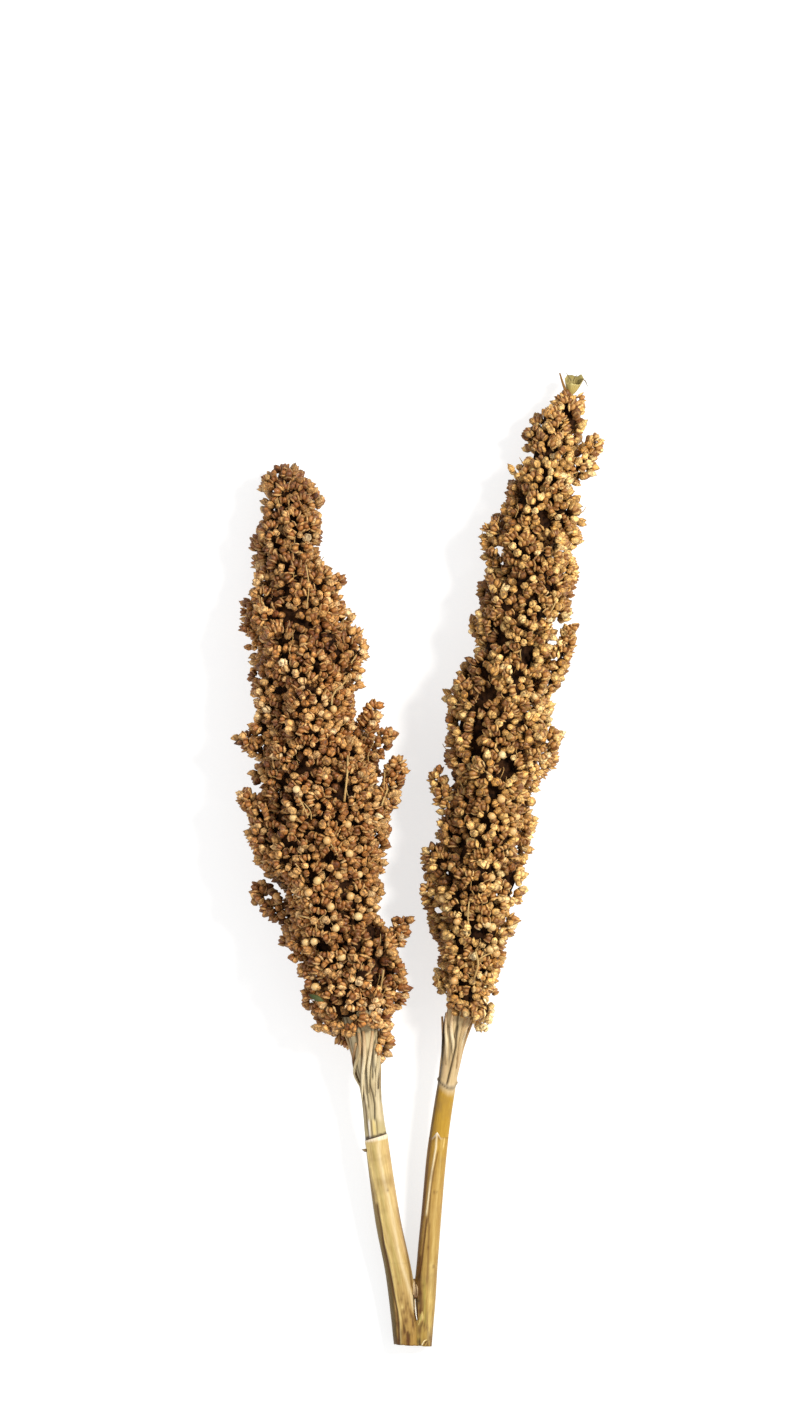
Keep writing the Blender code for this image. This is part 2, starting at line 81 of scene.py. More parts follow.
# in millimetres: distance, left edge, right edge, middle height, half depth
headOutline = inMetres({
    "left": (
        (150, -30, -12.5, 22, 7), (160, -49, -9, 23.5, 15), (188, -56, -4, 27.5, 24),
        (225, -74, -13, 30, 28.5), (272, -83, -10, 31.5, 31), (310, -82, -16, 30, 29.5),
        (345, -82, -25, 28, 27.5), (385, -80, -37, 23.5, 21.5), (425, -75.5, -45.5, 18.5, 16),
        (441, -69, -56, 17, 6.5),
    ),
    "right": (
        (156, 15.5, 27.5, 19, 6), (170, 13.5, 38.5, 20.5, 13.5), (205, 9.5, 51, 23, 20.5),
        (240, 8.5, 58.5, 24.7, 24), (290, 16, 67, 26, 25.5), (330, 20, 72.5, 26, 25.5),
        (375, 31, 80.5, 25, 24.5), (415, 39.5, 85.5, 23, 21), (450, 54, 87, 20, 15.5),
        (466, 61, 84.5, 18, 11), (477.5, 74, 85, 16.5, 4),
    ),
})

# branches that stand out, in millimetres: root x, root distance, tip x, tip distance, tip height
strayBranches = inMetres({
    "left": (
        (-30, 284, -18, 324, 34), (-12, 270, -7.3, 296.5, 40), (-18, 187, -1.2, 216, 30),
        (-74.5, 219, -76.8, 234, 28), (-56, 212, -77.5, 221, 28), (-70, 258, -88.7, 279, 35),
        (-69, 290, -88.5, 307.5, 34), (-45, 368, -36, 388.5, 30), (-42, 166, -30, 148, 14),
        (-19, 161, -14.2, 141, 22), (-30, 164, -33, 151, 18), (-20, 295, -9.5, 309.5, 36),
        (-68, 427, -70.5, 440.5, 19), (-70, 424, -74.8, 436, 18), (-70, 284, -82.2, 288.5, 32),
        (-40, 171, -50, 164.5, 24),
    ),
    "right": (
        (65.2, 323, 81.2, 362.5, 29), (76, 429, 95, 458, 21), (22.5, 255, 10.5, 290, 30),
        (20.8, 202, 5.3, 232, 24), (58, 284, 72.5, 307, 35), (25.5, 174, 31.8, 160, 18),
        (40, 350, 27.5, 364, 28), (19.5, 176, 11.5, 190, 20), (81, 432, 91.5, 446, 20),
        (80, 466, 83.2, 478, 18), (76.5, 466, 75.2, 478, 18),
    ),
})

# turning points of the heads' uneven edges in millimetres: distance, x
headEdges = {
    "left": {
        "left": (
            (150, -36), (159, -50), (165, -55), (172, -57.5), (180, -51.5), (186, -53.5), (190, -50),
            (195, -52), (199, -57), (203, -65), (208, -67.5), (213, -66), (222, -61), (232, -65.5),
            (238, -70), (243, -79), (252, -83), (264, -82.5), (277, -73.5), (283, -75.5), (287.5, -85),
            (292, -75), (296, -80), (302, -79), (312, -82), (318, -76.5), (322, -75.5), (328, -78),
            (336, -85), (343, -76.5), (355, -77.5), (362, -88.5), (374, -87), (380, -78), (392, -77),
            (396, -76.5), (399, -78.5), (405, -84.5), (412, -76.5), (430, -73.5), (437, -77.5), (442, -72),
        ),
        "right": (
            (150, -14.5), (158, -12), (167, -11), (172, -8), (177, -4.5), (181, -1.5), (194, -1.5),
            (201, -6.5), (207, -10.5), (217, -17), (228, -14), (238, -12.5), (243, -14.5), (251, -16.5),
            (258, -11.5), (271, -11), (277, -3), (280, -11), (286, -14.5), (294, -13.5), (302, -19),
            (306, -22), (311, -28.5), (318, -31.5), (328, -31.5), (335, -28.5), (341, -25.5), (346, -22),
            (353, -22), (360, -29), (364, -32.5), (370, -31.5), (376, -38.5), (381, -39), (385, -33),
            (389, -38), (392, -48.5), (400, -45), (404, -43.5), (411, -43.5), (416, -47.5), (424, -46),
            (431, -48), (436, -55), (442, -60),
        ),
    },
    "right": {
        "left": (
            (160, 20), (172, 19), (179, 17.5), (185, 13.5), (190, 14), (196, 10.5), (212, 9), (228, 9.5),
            (240, 8), (247, 6.5), (251, 13.5), (260, 8.5), (270, 15), (280, 21), (291, 22), (294, 15.5),
            (300, 14), (308, 13.5), (315, 14), (321, 16.5), (327, 15), (335, 22), (339, 25.5), (344, 26),
            (350, 33.5), (355, 31), (361, 26.5), (365, 27), (368, 31.5), (379, 30), (386, 36.5), (396, 35),
            (402, 30.5), (413, 36.5), (418, 41), (422, 46), (435, 47), (445, 54.5), (451, 55), (456, 52.5),
            (463, 57), (468, 64.5), (470.5, 74), (480, 73),
        ),
        "right": (
            (160, 28), (166, 30.5), (173, 33.5), (178, 37.5), (186, 43.5), (191, 46.5), (199, 48.5),
            (215, 52), (222, 50.5), (228, 48.5), (234, 51.5), (243, 54.5), (252, 57.5), (266, 64),
            (278, 58), (283, 62), (289, 64), (297, 67.5), (308, 76.5), (314, 63.5), (317, 65), (323, 69),
            (338, 72.5), (345, 71), (353, 67.5), (359, 70), (366, 79), (371, 83), (382, 80.5), (391, 80),
            (397, 73.5), (404, 85), (416, 89.5), (421, 86.5), (427, 82), (433, 79.5), (446, 84), (453, 80),
            (460, 77), (467, 78.5), (474, 84.5), (480, 85.5),
        ),
    },
}

# how far down the heads' grains hang, in millimetres: x, least distance
headFoot = {
    "left": (
        (-60, 161), (-50, 159), (-43, 156), (-36, 154), (-30, 155), (-27, 161), (-16, 159), (-14, 141),
        (-10, 141), (-7, 162),
    ),
    "right": (
        (8, 188), (14, 184), (17, 178), (20, 168), (23, 165), (31, 165), (32, 158), (37, 158), (42, 178),
    ),
}

# dark hollows between the branches, in millimetres: x, distance, radius
hollows = {
    "left": (
        (-56, 291, 4.2), (-34.5, 278, 4.5), (-69, 254, 3), (-65, 229, 4), (-18, 205, 4.8), (-30, 211, 3),
        (-18, 186, 4.2), (-43.5, 180, 2.8), (-50, 163, 3.4), (-43, 235, 3.2), (-44.5, 200, 3),
        (-35.5, 167, 3.4), (-63, 305, 3), (-48, 330, 3.2), (-66, 352, 3.2), (-52, 372, 3), (-61, 402, 2.8),
        (-67.5, 230, 4.6), (-15.5, 285, 3.6), (-7, 219, 4),
    ),
    "right": (
        (35.5, 374, 4.2), (41, 357, 4.2), (56, 345, 4), (34, 338, 3.6), (37, 328, 3.8), (31.5, 321, 4.2),
        (62, 330, 3.2), (54, 315, 4), (33, 308, 4), (31.5, 298, 3.8), (45.5, 287, 4.4), (40, 277, 3.6),
        (22.5, 285, 3), (51, 384, 3.6), (54, 426, 4.2), (67, 412, 3.8), (56, 451, 3), (43.5, 412, 3),
        (68, 401, 3.2), (22.5, 247, 4.6), (27, 253, 3.4), (20, 264, 3), (37, 260, 3.4), (46, 238, 3.6),
        (33, 205, 3.4), (28, 213, 3), (18, 232, 3.2), (72, 358, 4), (18.5, 281, 3.8), (80, 462, 3),
    ),
}

# gaps right through the heads' thin edges, in millimetres: x, distance, radius
gaps = {
    "left": (
        (-71.5, 268.5, 1.2), (-65, 225, 1.5), (-69.5, 229, 2), (-71, 231.4, 2.4), (-76.5, 238, 2.6),
        (-14.8, 284, 2.3), (-14.8, 289, 2), (-17, 280.5, 1.3), (-20.5, 305.5, 1.6), (-56, 181.5, 2),
        (-18.5, 308, 2), (-28, 316, 1.5), (-77, 279, 2.4), (-62, 196, 2.5), (-58, 190.5, 2),
        (-84.5, 352, 3), (-81.5, 345, 2.2), (-82, 396.5, 2.4),
    ),
    "right": (
        (60.7, 444.5, 2.1), (44, 397, 2.1), (23.4, 311, 1.2), (12.8, 217, 2), (9.5, 229.5, 1.5),
        (73.3, 359.5, 2.6), (72.6, 356, 1.8), (69, 351, 1.7), (67, 475.5, 3.6), (19.5, 280, 2),
        (19.5, 287, 1.8), (41, 173.5, 2.4), (86.5, 463.5, 2.6), (82.5, 398, 2.6), (70, 314.5, 2.2),
        (58.5, 231, 2.4), (74, 297, 2.2),
    ),
}


def tone(red, green, blue):
    # a screen colour as light
    return tuple(((c / 255 + 0.055) / 1.055) ** 2.4 for c in (red, green, blue))


def clamp(value, low=0.0, high=1.0):
    return min(max(value, low), high)


def smoothAt(rows, y):
    # smooth curve through the rows, read at distance y
    last = len(rows) - 2
    at = next((i for i in range(last) if y <= rows[i + 1][0]), last)
    before, low, high, after = rows[max(at - 1, 0)], rows[at], rows[at + 1], rows[min(at + 2, last + 1)]
    width = high[0] - low[0]
    t = clamp((y - low[0]) / width)
    values = []
    for k in range(1, len(low)):
        slopeLow = (high[k] - before[k]) / (high[0] - before[0]) * width
        slopeHigh = (after[k] - low[k]) / (after[0] - low[0]) * width
        values.append(
            low[k] * (2 * t**3 - 3 * t**2 + 1)
            + slopeLow * (t**3 - 2 * t**2 + t)
            + high[k] * (3 * t**2 - 2 * t**3)
            + slopeHigh * (t**3 - t**2)
        )
    return values


def between(rows, at):
    return float(np.interp(at, *zip(*rows)))


def edgesAt(side, y):
    return [between(headEdges[side][edge], y / mm) * mm for edge in ("left", "right")]


def footAt(side, x):
    return np.interp(x / mm, *zip(*headFoot[side])) * mm


def skinAt(side, y, angle, inset=0.0):
    # a point on a head's skin and the way out there
    left, right, height, depth = smoothAt(headOutline[side], y)
    middle = (left + right) / 2
    unevenLeft, unevenRight = edgesAt(side, y)
    reach = unevenRight - middle if cos(angle) > 0 else middle - unevenLeft
    across = max(reach - inset, 0.0012)
    through = max(depth - inset, 0.0012)
    point = Vector((middle + across * cos(angle), y, height + through * sin(angle)))
    return point, Vector((cos(angle) / across, 0, sin(angle) / through)).normalized()


def skinTop(side, x, y):
    # height of a head's upper skin
    left, right, height, depth = smoothAt(headOutline[side], y)
    middle = (left + right) / 2
    return height + depth * sqrt(max(0.0, 1 - ((x - middle) / ((right - left) / 2)) ** 2))


def depthIn(side, place):
    # 0 at a head's axis and 1 at its skin, and how far across it is from left to right
    _, _, height, depth = smoothAt(headOutline[side], place.y)
    left, right = edgesAt(side, place.y)
    across = (2 * place.x - left - right) / max(right - left, 0.002)
    return hypot(across, (place.z - height) / depth), across


def spiralPlaces(side, spacing, firstAngle):
    # evenly spread places round a head, as on a sunflower
    outline = headOutline[side]
    y = outline[0][0] + spacing * 0.3
    angle = firstAngle
    places = []
    while y < outline[-1][0]:
        left, right, _, depth = smoothAt(outline, y)
        y += spacing**2 / max(pi * ((right - left) / 2 + depth), spacing)
        angle += goldenAngle
        places.append((y, angle))
    return places


# nodes of a material

def newMaterial(name, roughness, specular=0.5):
    made = bpy.data.materials.new(name)
    made.use_nodes = True
    shader = made.node_tree.nodes["Principled BSDF"]
    shader.inputs["Roughness"].default_value = roughness
    shader.inputs["Specular IOR Level"].default_value = specular
    return made, made.node_tree, shader


def addNode(tree, kind, links=None, **values):
    node = tree.nodes.new(kind)
    for key, value in values.items():
        if hasattr(node, key):
            setattr(node, key, value)
        else:
            node.inputs[key.replace("_", " ")].default_value = value
    for socket, source in (links or {}).items():
        tree.links.new(source, node.inputs[socket])
    return node


def colourRamp(tree, source, stops):
    ramp = addNode(tree, "ShaderNodeValToRGB", {"Fac": source})
    while len(ramp.color_ramp.elements) < len(stops):
        ramp.color_ramp.elements.new(0.5)
    for element, (place, colour) in zip(ramp.color_ramp.elements, stops):
        element.position = place
        element.color = (*colour, 1)
    return ramp.outputs["Color"]


def mixColour(tree, amount, first, second, blend="MIX"):
    node = tree.nodes.new("ShaderNodeMix")
    node.data_type = "RGBA"
    node.blend_type = blend
    for socket, value in ((node.inputs[0], amount), (node.inputs[6], first), (node.inputs[7], second)):
        if isinstance(value, bpy.types.NodeSocket):
            tree.links.new(value, socket)
        elif isinstance(value, (int, float)):
            socket.default_value = value
        else:
            socket.default_value = (*value, 1)
    return node.outputs[2]


def multiplied(tree, *factors):
    node = addNode(tree, "ShaderNodeMath", operation="MULTIPLY")
    for socket, factor in zip(node.inputs, factors):
        tree.links.new(factor, socket)
    return node.outputs[0]


def rescale(tree, source, *limits):
    # limits: from low, from high, to low, to high
    node = tree.nodes.new("ShaderNodeMapRange")
    tree.links.new(source, node.inputs["Value"])
    for key, value in zip(("From Min", "From Max", "To Min", "To Max"), limits):
        node.inputs[key].default_value = value
    return node.outputs["Result"]


def noiseOn(tree, vector, scale, detail=3.0, roughness=0.55):
    values = {"Scale": scale, "Detail": detail, "Roughness": roughness}
    return addNode(tree, "ShaderNodeTexNoise", {"Vector": vector}, **values).outputs["Fac"]


def placeOn(tree):
    return addNode(tree, "ShaderNodeTexCoord").outputs["Object"]


def budLookOn(tree):
    # for each point of a husk: hue, lightness, share from root to tip, how deep in the cleft
    look = addNode(tree, "ShaderNodeAttribute", attribute_name="budLook").outputs
    parts = addNode(tree, "ShaderNodeSeparateColor", {"Color": look["Color"]}).outputs
    return parts[0], parts[1], parts[2], look["Alpha"]


def addBump(tree, shader, height, strength, distance):
    node = addNode(tree, "ShaderNodeBump", {"Height": height}, Strength=strength, Distance=distance)
    tree.links.new(node.outputs["Normal"], shader.inputs["Normal"])


huskColours = {
    "left": (
        (0.0, tone(112, 62, 24)), (0.22, tone(168, 112, 55)), (0.5, tone(204, 154, 90)),
        (0.78, tone(214, 173, 117)), (1.0, tone(224, 194, 146)),
    ),
    "right": (
        (0.0, tone(128, 80, 32)), (0.22, tone(188, 138, 70)), (0.5, tone(218, 175, 105)),
        (0.78, tone(226, 192, 130)), (1.0, tone(232, 208, 158)),
    ),
    # cleft: painted shade on the glumes' inner sides, with some real red-brown; root: painted shade where
    # the grains overlap
    "cleft": tone(112, 60, 24),
    "tip": tone(84, 46, 22),
    "root": tone(84, 48, 18),
    "rim": tone(232, 190, 120),
}


def huskMaterial(side):
    made, tree, shader = newMaterial(side + "Husk", 0.52, 0.35)
    hue, lightness, along, deep = budLookOn(tree)
    place = placeOn(tree)
    scales = addNode(tree, "ShaderNodeTexVoronoi", {"Vector": place}, Scale=380.0)
    scales.feature = "DISTANCE_TO_EDGE"
    shade = rescale(tree, lightness, 0.0, 1.0, 0.68, 1.30)
    for source, *limits in (
        (noiseOn(tree, place, 700.0), 0.32, 0.68, 0.68, 1.26),
        (noiseOn(tree, place, 1900.0), 0.3, 0.7, 0.84, 1.16),
        (scales.outputs["Distance"], 0.02, 0.16, 0.58, 1.24),
    ):
        shade = multiplied(tree, shade, rescale(tree, source, *limits))
    greys = addNode(tree, "ShaderNodeCombineColor", {"Red": shade, "Green": shade, "Blue": shade})
    colour = colourRamp(tree, hue, huskColours[side])
    colour = mixColour(tree, 1.0, colour, greys.outputs["Color"], "MULTIPLY")
    # painted shade: the cleft colour on the glumes' inner sides, with some real red-brown, and the
    # darkening at the roots where grains overlap
    for source, start, full, amount, name in (
        (deep, 0.12, 0.28, 0.45, "rim"), (deep, 0.32, 0.8, 0.9, "cleft"),
        (along, 0.86, 1.0, 0.9, "tip"), (along, 0.36, 0.05, 0.85, "root"),
    ):
        share = rescale(tree, source, start, full, 0.0, amount)
        colour = mixColour(tree, share, colour, huskColours[name])
    tree.links.new(colour, shader.inputs["Base Color"])
    addBump(tree, shader, noiseOn(tree, place, 950.0), 0.75, 0.0009)
    return made


def grainMaterial(name, roughness, *colours):
    # colours run from dull to bright, each a share and a colour
    made, tree, shader = newMaterial(name, roughness)
    hue, _, along, _ = budLookOn(tree)
    speckle = rescale(tree, noiseOn(tree, placeOn(tree), 900.0), 0.35, 0.7, 0.0, 0.35)
    colour = mixColour(tree, speckle, colourRamp(tree, hue, colours), (0.32, 0.16, 0.05))
    # painted shade at the grain's root
    atRoot = rescale(tree, along, 0.25, 0.0, 0.0, 0.8)
    tree.links.new(mixColour(tree, atRoot, colour, huskColours["root"]), shader.inputs["Base Color"])
    return made


def tangleMaterial():
    made, tree, shader = newMaterial("innerTangle", 0.9, 0.1)
    place = placeOn(tree)
    # near-black: painted shade, deeper than the inner branches' own dark brown
    stops = ((0.35, (0.006, 0.002, 0.001)), (0.68, (0.042, 0.016, 0.005)))
    tree.links.new(colourRamp(tree, noiseOn(tree, place, 420.0), stops), shader.inputs["Base Color"])
    addBump(tree, shader, noiseOn(tree, place, 800.0), 0.8, 0.0008)
    return made


def strawMaterial(name, pale, dark, streaks=46.0):
    # fine fibres run along the piece: u goes round it and v along it
    made, tree, shader = newMaterial(name, 0.5, 0.22)
    uv = addNode(tree, "ShaderNodeUVMap", uv_map="along").outputs["UV"]
    stretched = addNode(tree, "ShaderNodeMapping", {"Vector": uv})
    stretched.inputs["Scale"].default_value = (streaks, 9.0, 1.0)
    fibres = noiseOn(tree, stretched.outputs["Vector"], 1.0, 4.0, 0.6)
    paint = addNode(tree, "ShaderNodeAttribute", attribute_name="paint").outputs["Color"]
    streaky = colourRamp(tree, fibres, ((0.30, dark), (0.62, pale)))
    colour = mixColour(tree, 1.0, paint, streaky, "MULTIPLY")
    blotch = rescale(tree, noiseOn(tree, placeOn(tree), 75.0), 0.52, 0.72, 0.0, 0.45)
    colour = mixColour(tree, blotch, colour, (0.20, 0.11, 0.035))
    tree.links.new(colour, shader.inputs["Base Color"])
    addBump(tree, shader, fibres, 0.55, 0.0006)
    return made


def addObject(name, data):
    made = bpy.data.objects.new(name, data)
    bpy.context.scene.collection.objects.link(made)
    return made


def finishPiece(name, shape, materials, node):
    mesh = toMesh(shape, name) if isinstance(shape, bmesh.types.BMesh) else shape
    mesh.transform(Matrix.Translation(cutEnd))
    for one in materials:
        mesh.materials.append(one)
    mesh.shade_smooth()
    piece = addObject(name, mesh)
    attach(piece, "root")
    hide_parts(node)


def toMesh(bm, name):
    mesh = bpy.data.meshes.new(name)
    bm.to_mesh(mesh)
    bm.free()
    return mesh


# husked grains: half widths and centres of the parts, in millimetres, root at the origin and tip along z

budParts = {
    "round": (
        {"half": (2, 2, 2.25), "centre": (0, 0, 2.3), "rings": 5, "point": 0.35},
        {"half": (1, 1.75, 2.1), "centre": (1.35, 0, 1.8), "tilt": 9, "point": 0.3, "rim": True},
    ),
    "cupped": (
        {"half": (1.35, 1.6, 1.9), "centre": (0, 0, 2.5), "point": 0.3, "inner": True},
        {"half": (0.95, 2, 2.5), "centre": (1.5, 0, 2.2), "tilt": 16, "point": 0.55, "rim": True},
        {"half": (0.95, 1.9, 2.3), "centre": (-1.45, 0.2, 2.1), "tilt": -18, "point": 0.6, "rim": True},
    ),
    "pointed": (
        {"half": (1.85, 1.65, 2.6), "centre": (0, 0, 2.5), "rings": 5, "point": 0.75},
        {"half": (0.8, 1.5, 2.2), "centre": (1.3, 0, 2), "tilt": 18, "point": 0.7, "rim": True},
    ),
    "naked": (
        {"half": (2.15, 2.05, 2.2), "centre": (0, 0, 2.7), "segments": 9, "rings": 7, "inner": True,
         "uneven": 0.02},
        {"half": (0.7, 1.5, 1.3), "centre": (1.7, 0, 1.1), "tilt": 24, "point": 0.5, "rim": True},
        {"half": (0.7, 1.5, 1.3), "centre": (-1.7, 0, 1.1), "tilt": -24, "point": 0.5, "rim": True},
    ),
}


def ovoidInto(bm, look, part, draw):
    # an egg drawn out to a point, darker at its root and its tip; the root's darkening is painted shade
    segments, rings = part.get("segments", 6 if part.get("rings") else 5), part.get("rings", 4)
    made = bmesh.ops.create_uvsphere(bm, u_segments=segments, v_segments=rings, radius=1.0)["verts"]
    turn = Matrix.Rotation(radians(part.get("tilt", 0)), 3, "Y")
    half, centre = Vector(part["half"]), Vector(part["centre"])
    for v in made:
        along = (v.co.z + 1) / 2
        narrow = 1 - part.get("point", 0) * max(0.0, 2 * along - 1) ** 1.5
        facing = abs(v.co.x) if part.get("rim") else 0
        # the glumes' inner sides take the cleft's painted shade
        inward = part.get("rim") and v.co.x * centre.x < -0.2
        uneven = 1 + draw.uniform(-1, 1) * part.get("uneven", 0.13)
        v.co = Vector((v.co.x * half.x * narrow, v.co.y * half.y * narrow, v.co.z * half.z)) * uneven
        v.co = turn @ v.co + centre
        v.co *= mm
        v[look] = (0, 0, along, 1.0 if inward else 0.3 * (1 - facing) if part.get("rim") else 0)
    if part.get("inner"):
        for face in {f for v in made for f in v.link_faces}:
            face.material_index = 1


def budTemplate(kind, seed):
    bm = bmesh.new()
    draw = random.Random(seed)
    look = bm.verts.layers.float_color.new("budLook")
    for part in budParts[kind]:
        ovoidInto(bm, look, part, draw)
    points = np.array([v.co for v in bm.verts])
    looks = np.array([v[look] for v in bm.verts])
    bm.verts.index_update()
    corners = [[v.index for v in f.verts] for f in bm.faces]
    grain = 2 if kind == "naked" else 1
    stuff = [grain * f.material_index for f in bm.faces]
    bm.free()
    return {"points": points, "looks": looks, "corners": corners, "stuff": stuff}


def scatter(name, templates, buds):
    # buds: (shape, root, direction, turn, size, hue, lightness); one mesh holds them all
    points, looks, starts, loops, stuff = [], [], [], [], []
    pointCount, loopCount = 0, 0
    for kind, template in templates.items():
        chosen = [b for b in buds if b[0] == kind]
        if not chosen:
            continue
        count, perBud = len(chosen), len(template["points"])
        basis = np.empty((count, 3, 3))
        for i, (_, _, direction, turn, size, _, _) in enumerate(chosen):
            whole = direction.to_track_quat("Z", "Y").to_matrix() @ Matrix.Rotation(turn, 3, "Z")
            basis[i] = np.array(whole) * size
        roots = np.array([b[1] for b in chosen])
        placed = np.einsum("nij,kj->nki", basis, template["points"]) + roots[:, None, :]
        tinted = np.tile(template["looks"], (count, 1, 1))
        tinted[:, :, :2] = np.array([b[5:] for b in chosen])[:, None]
        flat = np.concatenate([np.array(c) for c in template["corners"]])
        sizes = np.array([len(c) for c in template["corners"]])
        order = np.arange(count)[:, None]
        loops.append((flat + order * perBud + pointCount).ravel())
        faceStarts = np.concatenate([[0], np.cumsum(sizes)[:-1]])
        starts.append((faceStarts + order * len(flat) + loopCount).ravel())
        stuff.append(np.tile(template["stuff"], count))
        points.append(placed.reshape(-1, 3))
        looks.append(tinted.reshape(-1, 4))
        pointCount += perBud * count
        loopCount += len(flat) * count
    mesh = bpy.data.meshes.new(name)
    mesh.vertices.add(pointCount)
    mesh.vertices.foreach_set("co", np.concatenate(points).astype(np.float32).ravel())
    mesh.loops.add(loopCount)
    mesh.loops.foreach_set("vertex_index", np.concatenate(loops).astype(np.int32))
    allStarts = np.concatenate(starts).astype(np.int32)
    mesh.polygons.add(len(allStarts))
    mesh.polygons.foreach_set("loop_start", allStarts)
    mesh.polygons.foreach_set("material_index", np.concatenate(stuff).astype(np.int32))
    mesh.update(calc_edges=True)
    attribute = mesh.attributes.new("budLook", "FLOAT_COLOR", "POINT")
    attribute.data.foreach_set("color", np.concatenate(looks).astype(np.float32).ravel())
    return mesh


# branch ends: each is a club of husked grains

club = {
    "spacing": 0.0128,
    "halfLength": (0.0080, 0.0150),
    "radius": (0.0030, 0.0054),
    "unevenness": 0.0034,
    "budReach": 0.0046,
    "budArea": 0.0000060,
    "budGap": 0.0031,
    "budMiddle": 0.0022,    # from a bud's root, where it is hidden or not
    "gapMiddle": 0.0023,    # and where its distance to others is taken
    "budCrown": 0.003,      # and where its look is taken
    "budLength": 0.0055,
    "budRadius": 0.0019,
    "strayRadius": 0.0014,
    "loose": 0.10,          # share of grains that stand out on their own stalks
    "looseReach": (0.0008, 0.0018),
    "sunkShade": 0.45,   # painted shade: how much darker the grains are between the branches
    # painted shade on the left side of each head, away from the key light
    "leftSideShade": {"left": 0.14, "right": 0.42},
    # painted shade in the dark hollows
    "holeShade": 0.7,
    "holeLength": 1.25,     # hollows are this much longer than wide
    "sway": 0.35,           # how far the clubs lean sideways
    "footRoom": 0.008,      # no dark tangle this near to the heads' foot
    "rings": 22,            # of the dark core
    "corners": 16,
    "coreInset": 0.0092,
    "coreNarrowing": 0.0035,
    "lightAlong": {         # distance in millimetres, how much lighter
        "left": ((160, 0.22), (195, 0.12), (215, 0.0), (285, 0.0), (310, 0.2), (370, 0.2), (400, -0.15)),
        "right": ((200, 0.15), (350, 0.12), (400, 0.22)),
    },
}


def clubsOf(side, seed):
    # club: root end, tip end, radius
    draw = random.Random(seed)
    clubs = []
    first, last = headOutline[side][0][0], headOutline[side][-1][0]
    for y, angle in spiralPlaces(side, club["spacing"], draw.uniform(0, 6.28)):
        share = (y - first) / (last - first)
        lean = radians(14 + 34 * min(share * 5, 1) + 38 * max(0.0, share - 0.88) / 0.12)
        lean += draw.uniform(-0.3, 0.3)
        narrow = min(1, (1 - share) * 6)
        inset = club["budReach"] + draw.triangular(-1, 1.6, 0) * club["unevenness"] * narrow
        tip, outward = skinAt(side, y, angle + draw.uniform(-0.1, 0.1), inset)
        sideways = outward.cross(upStalk) * draw.uniform(-club["sway"], club["sway"])
        direction = (outward * cos(lean) + upStalk * sin(lean) + sideways).normalized()
        tip.y -= max(0.0, tip.y + direction.y * club["budReach"] - last)
        halfLength = draw.uniform(*club["halfLength"]) * (0.75 + 0.25 * min(1, (1 - share) * 5))
        radius = draw.uniform(*club["radius"]) * (0.5 + 0.5 * narrow)
        clubs.append((tip - direction * 2 * halfLength, tip, radius))
    for rootX, rootY, tipX, tipY, tipZ in strayBranches[side]:
        height = smoothAt(headOutline[side], rootY)[2]
        root, tip = Vector((rootX, rootY, (height + tipZ) / 2)), Vector((tipX, tipY, tipZ))
        along = (tip - root).normalized()
        clubs.append((root, tip - along * club["budReach"], club["strayRadius"]))
    return clubs


def budsOf(side, clubs, seed):
    draw = random.Random(seed)
    roots = np.array([c[0] for c in clubs])
    tips = np.array([c[1] for c in clubs])
    radii = np.array([c[2] for c in clubs])
    candidates = []
    for index, (root, tip, radius) in enumerate(clubs):
        along = tip - root
        half = along.length / 2
        along.normalize()
        middle = (root + tip) / 2
        sideways = along.orthogonal()
        across = along.cross(sideways)
        # an ovoid's skin, by Thomsen's formula
        area = 4 * pi * ((2 * (half * radius) ** 1.6 + radius**3.2) / 3) ** (1 / 1.6)
        area = max(area, 2 * pi * radius * half * 2)
        count = max(8, int(area / club["budArea"]))
        for i in range(count):
            t = 1 - 2 * (i + 0.5) / count
            ring = sqrt(max(0.0, 1 - t * t))
            angle = i * goldenAngle
            spoke = sideways * cos(angle) + across * sin(angle)
            place = middle + along * (half * t) + spoke * (radius * ring)
            normal = (along * (t / half) + spoke * (ring / radius)).normalized()
            direction = (normal + along * 0.55).normalized()
            candidates.append((draw.random() - 0.25 * (t > 0.2), index, place, direction))
    centres = np.array([c[2] + c[3] * club["budMiddle"] for c in candidates])
    owners = np.array([c[1] for c in candidates])
    hidden = np.zeros(len(candidates), bool)
    for k in range(len(clubs)):
        axis = tips[k] - roots[k]
        half = np.linalg.norm(axis) / 2
        axis = axis / (2 * half)
        offset = centres - (roots[k] + tips[k]) / 2
        t = offset @ axis
        off = np.linalg.norm(offset - t[:, None] * axis, axis=1)
        inside = (t / (half + 0.0003)) ** 2 + (off / (radii[k] + 0.0003)) ** 2 < 1
        hidden |= inside & (owners != k)
    strays = owners >= len(clubs) - len(strayBranches[side])  # no hollow or gap cuts these
    for x, y, radius in hollows[side]:
        top = skinTop(side, x * mm, y * mm)
        offset = (centres - np.array((x * mm, y * mm, top - 0.4 * radius * mm))) / (1.15 * radius * mm)
        offset /= (1, club["holeLength"], 1.6)
        hidden |= ((offset**2).sum(axis=1) < 1) & ~strays
    for x, y, radius in gaps[side]:
        away = np.hypot(centres[:, 0] - x * mm, centres[:, 1] - y * mm)
        hidden |= (away < (radius + 1.2) * mm) & ~strays
    hidden |= (centres[:, 1] < footAt(side, centres[:, 0])) & ~strays
    kept = sorted((c for c, h in zip(candidates, hidden) if not h), key=lambda c: c[0])
    return thinned(kept, draw)


def settle(place, direction, size):
    # nothing reaches under the surface that the heads lie on, nor far over the top
    ends = (place.z, (place + direction * club["budLength"] * size).z)
    around = club["budRadius"] * size
    lift = max(0.0, 0.0001 - min(ends) + around) - max(0.0, max(ends) + around - cadBox[1][2])
    return place + Vector((0, 0, lift))


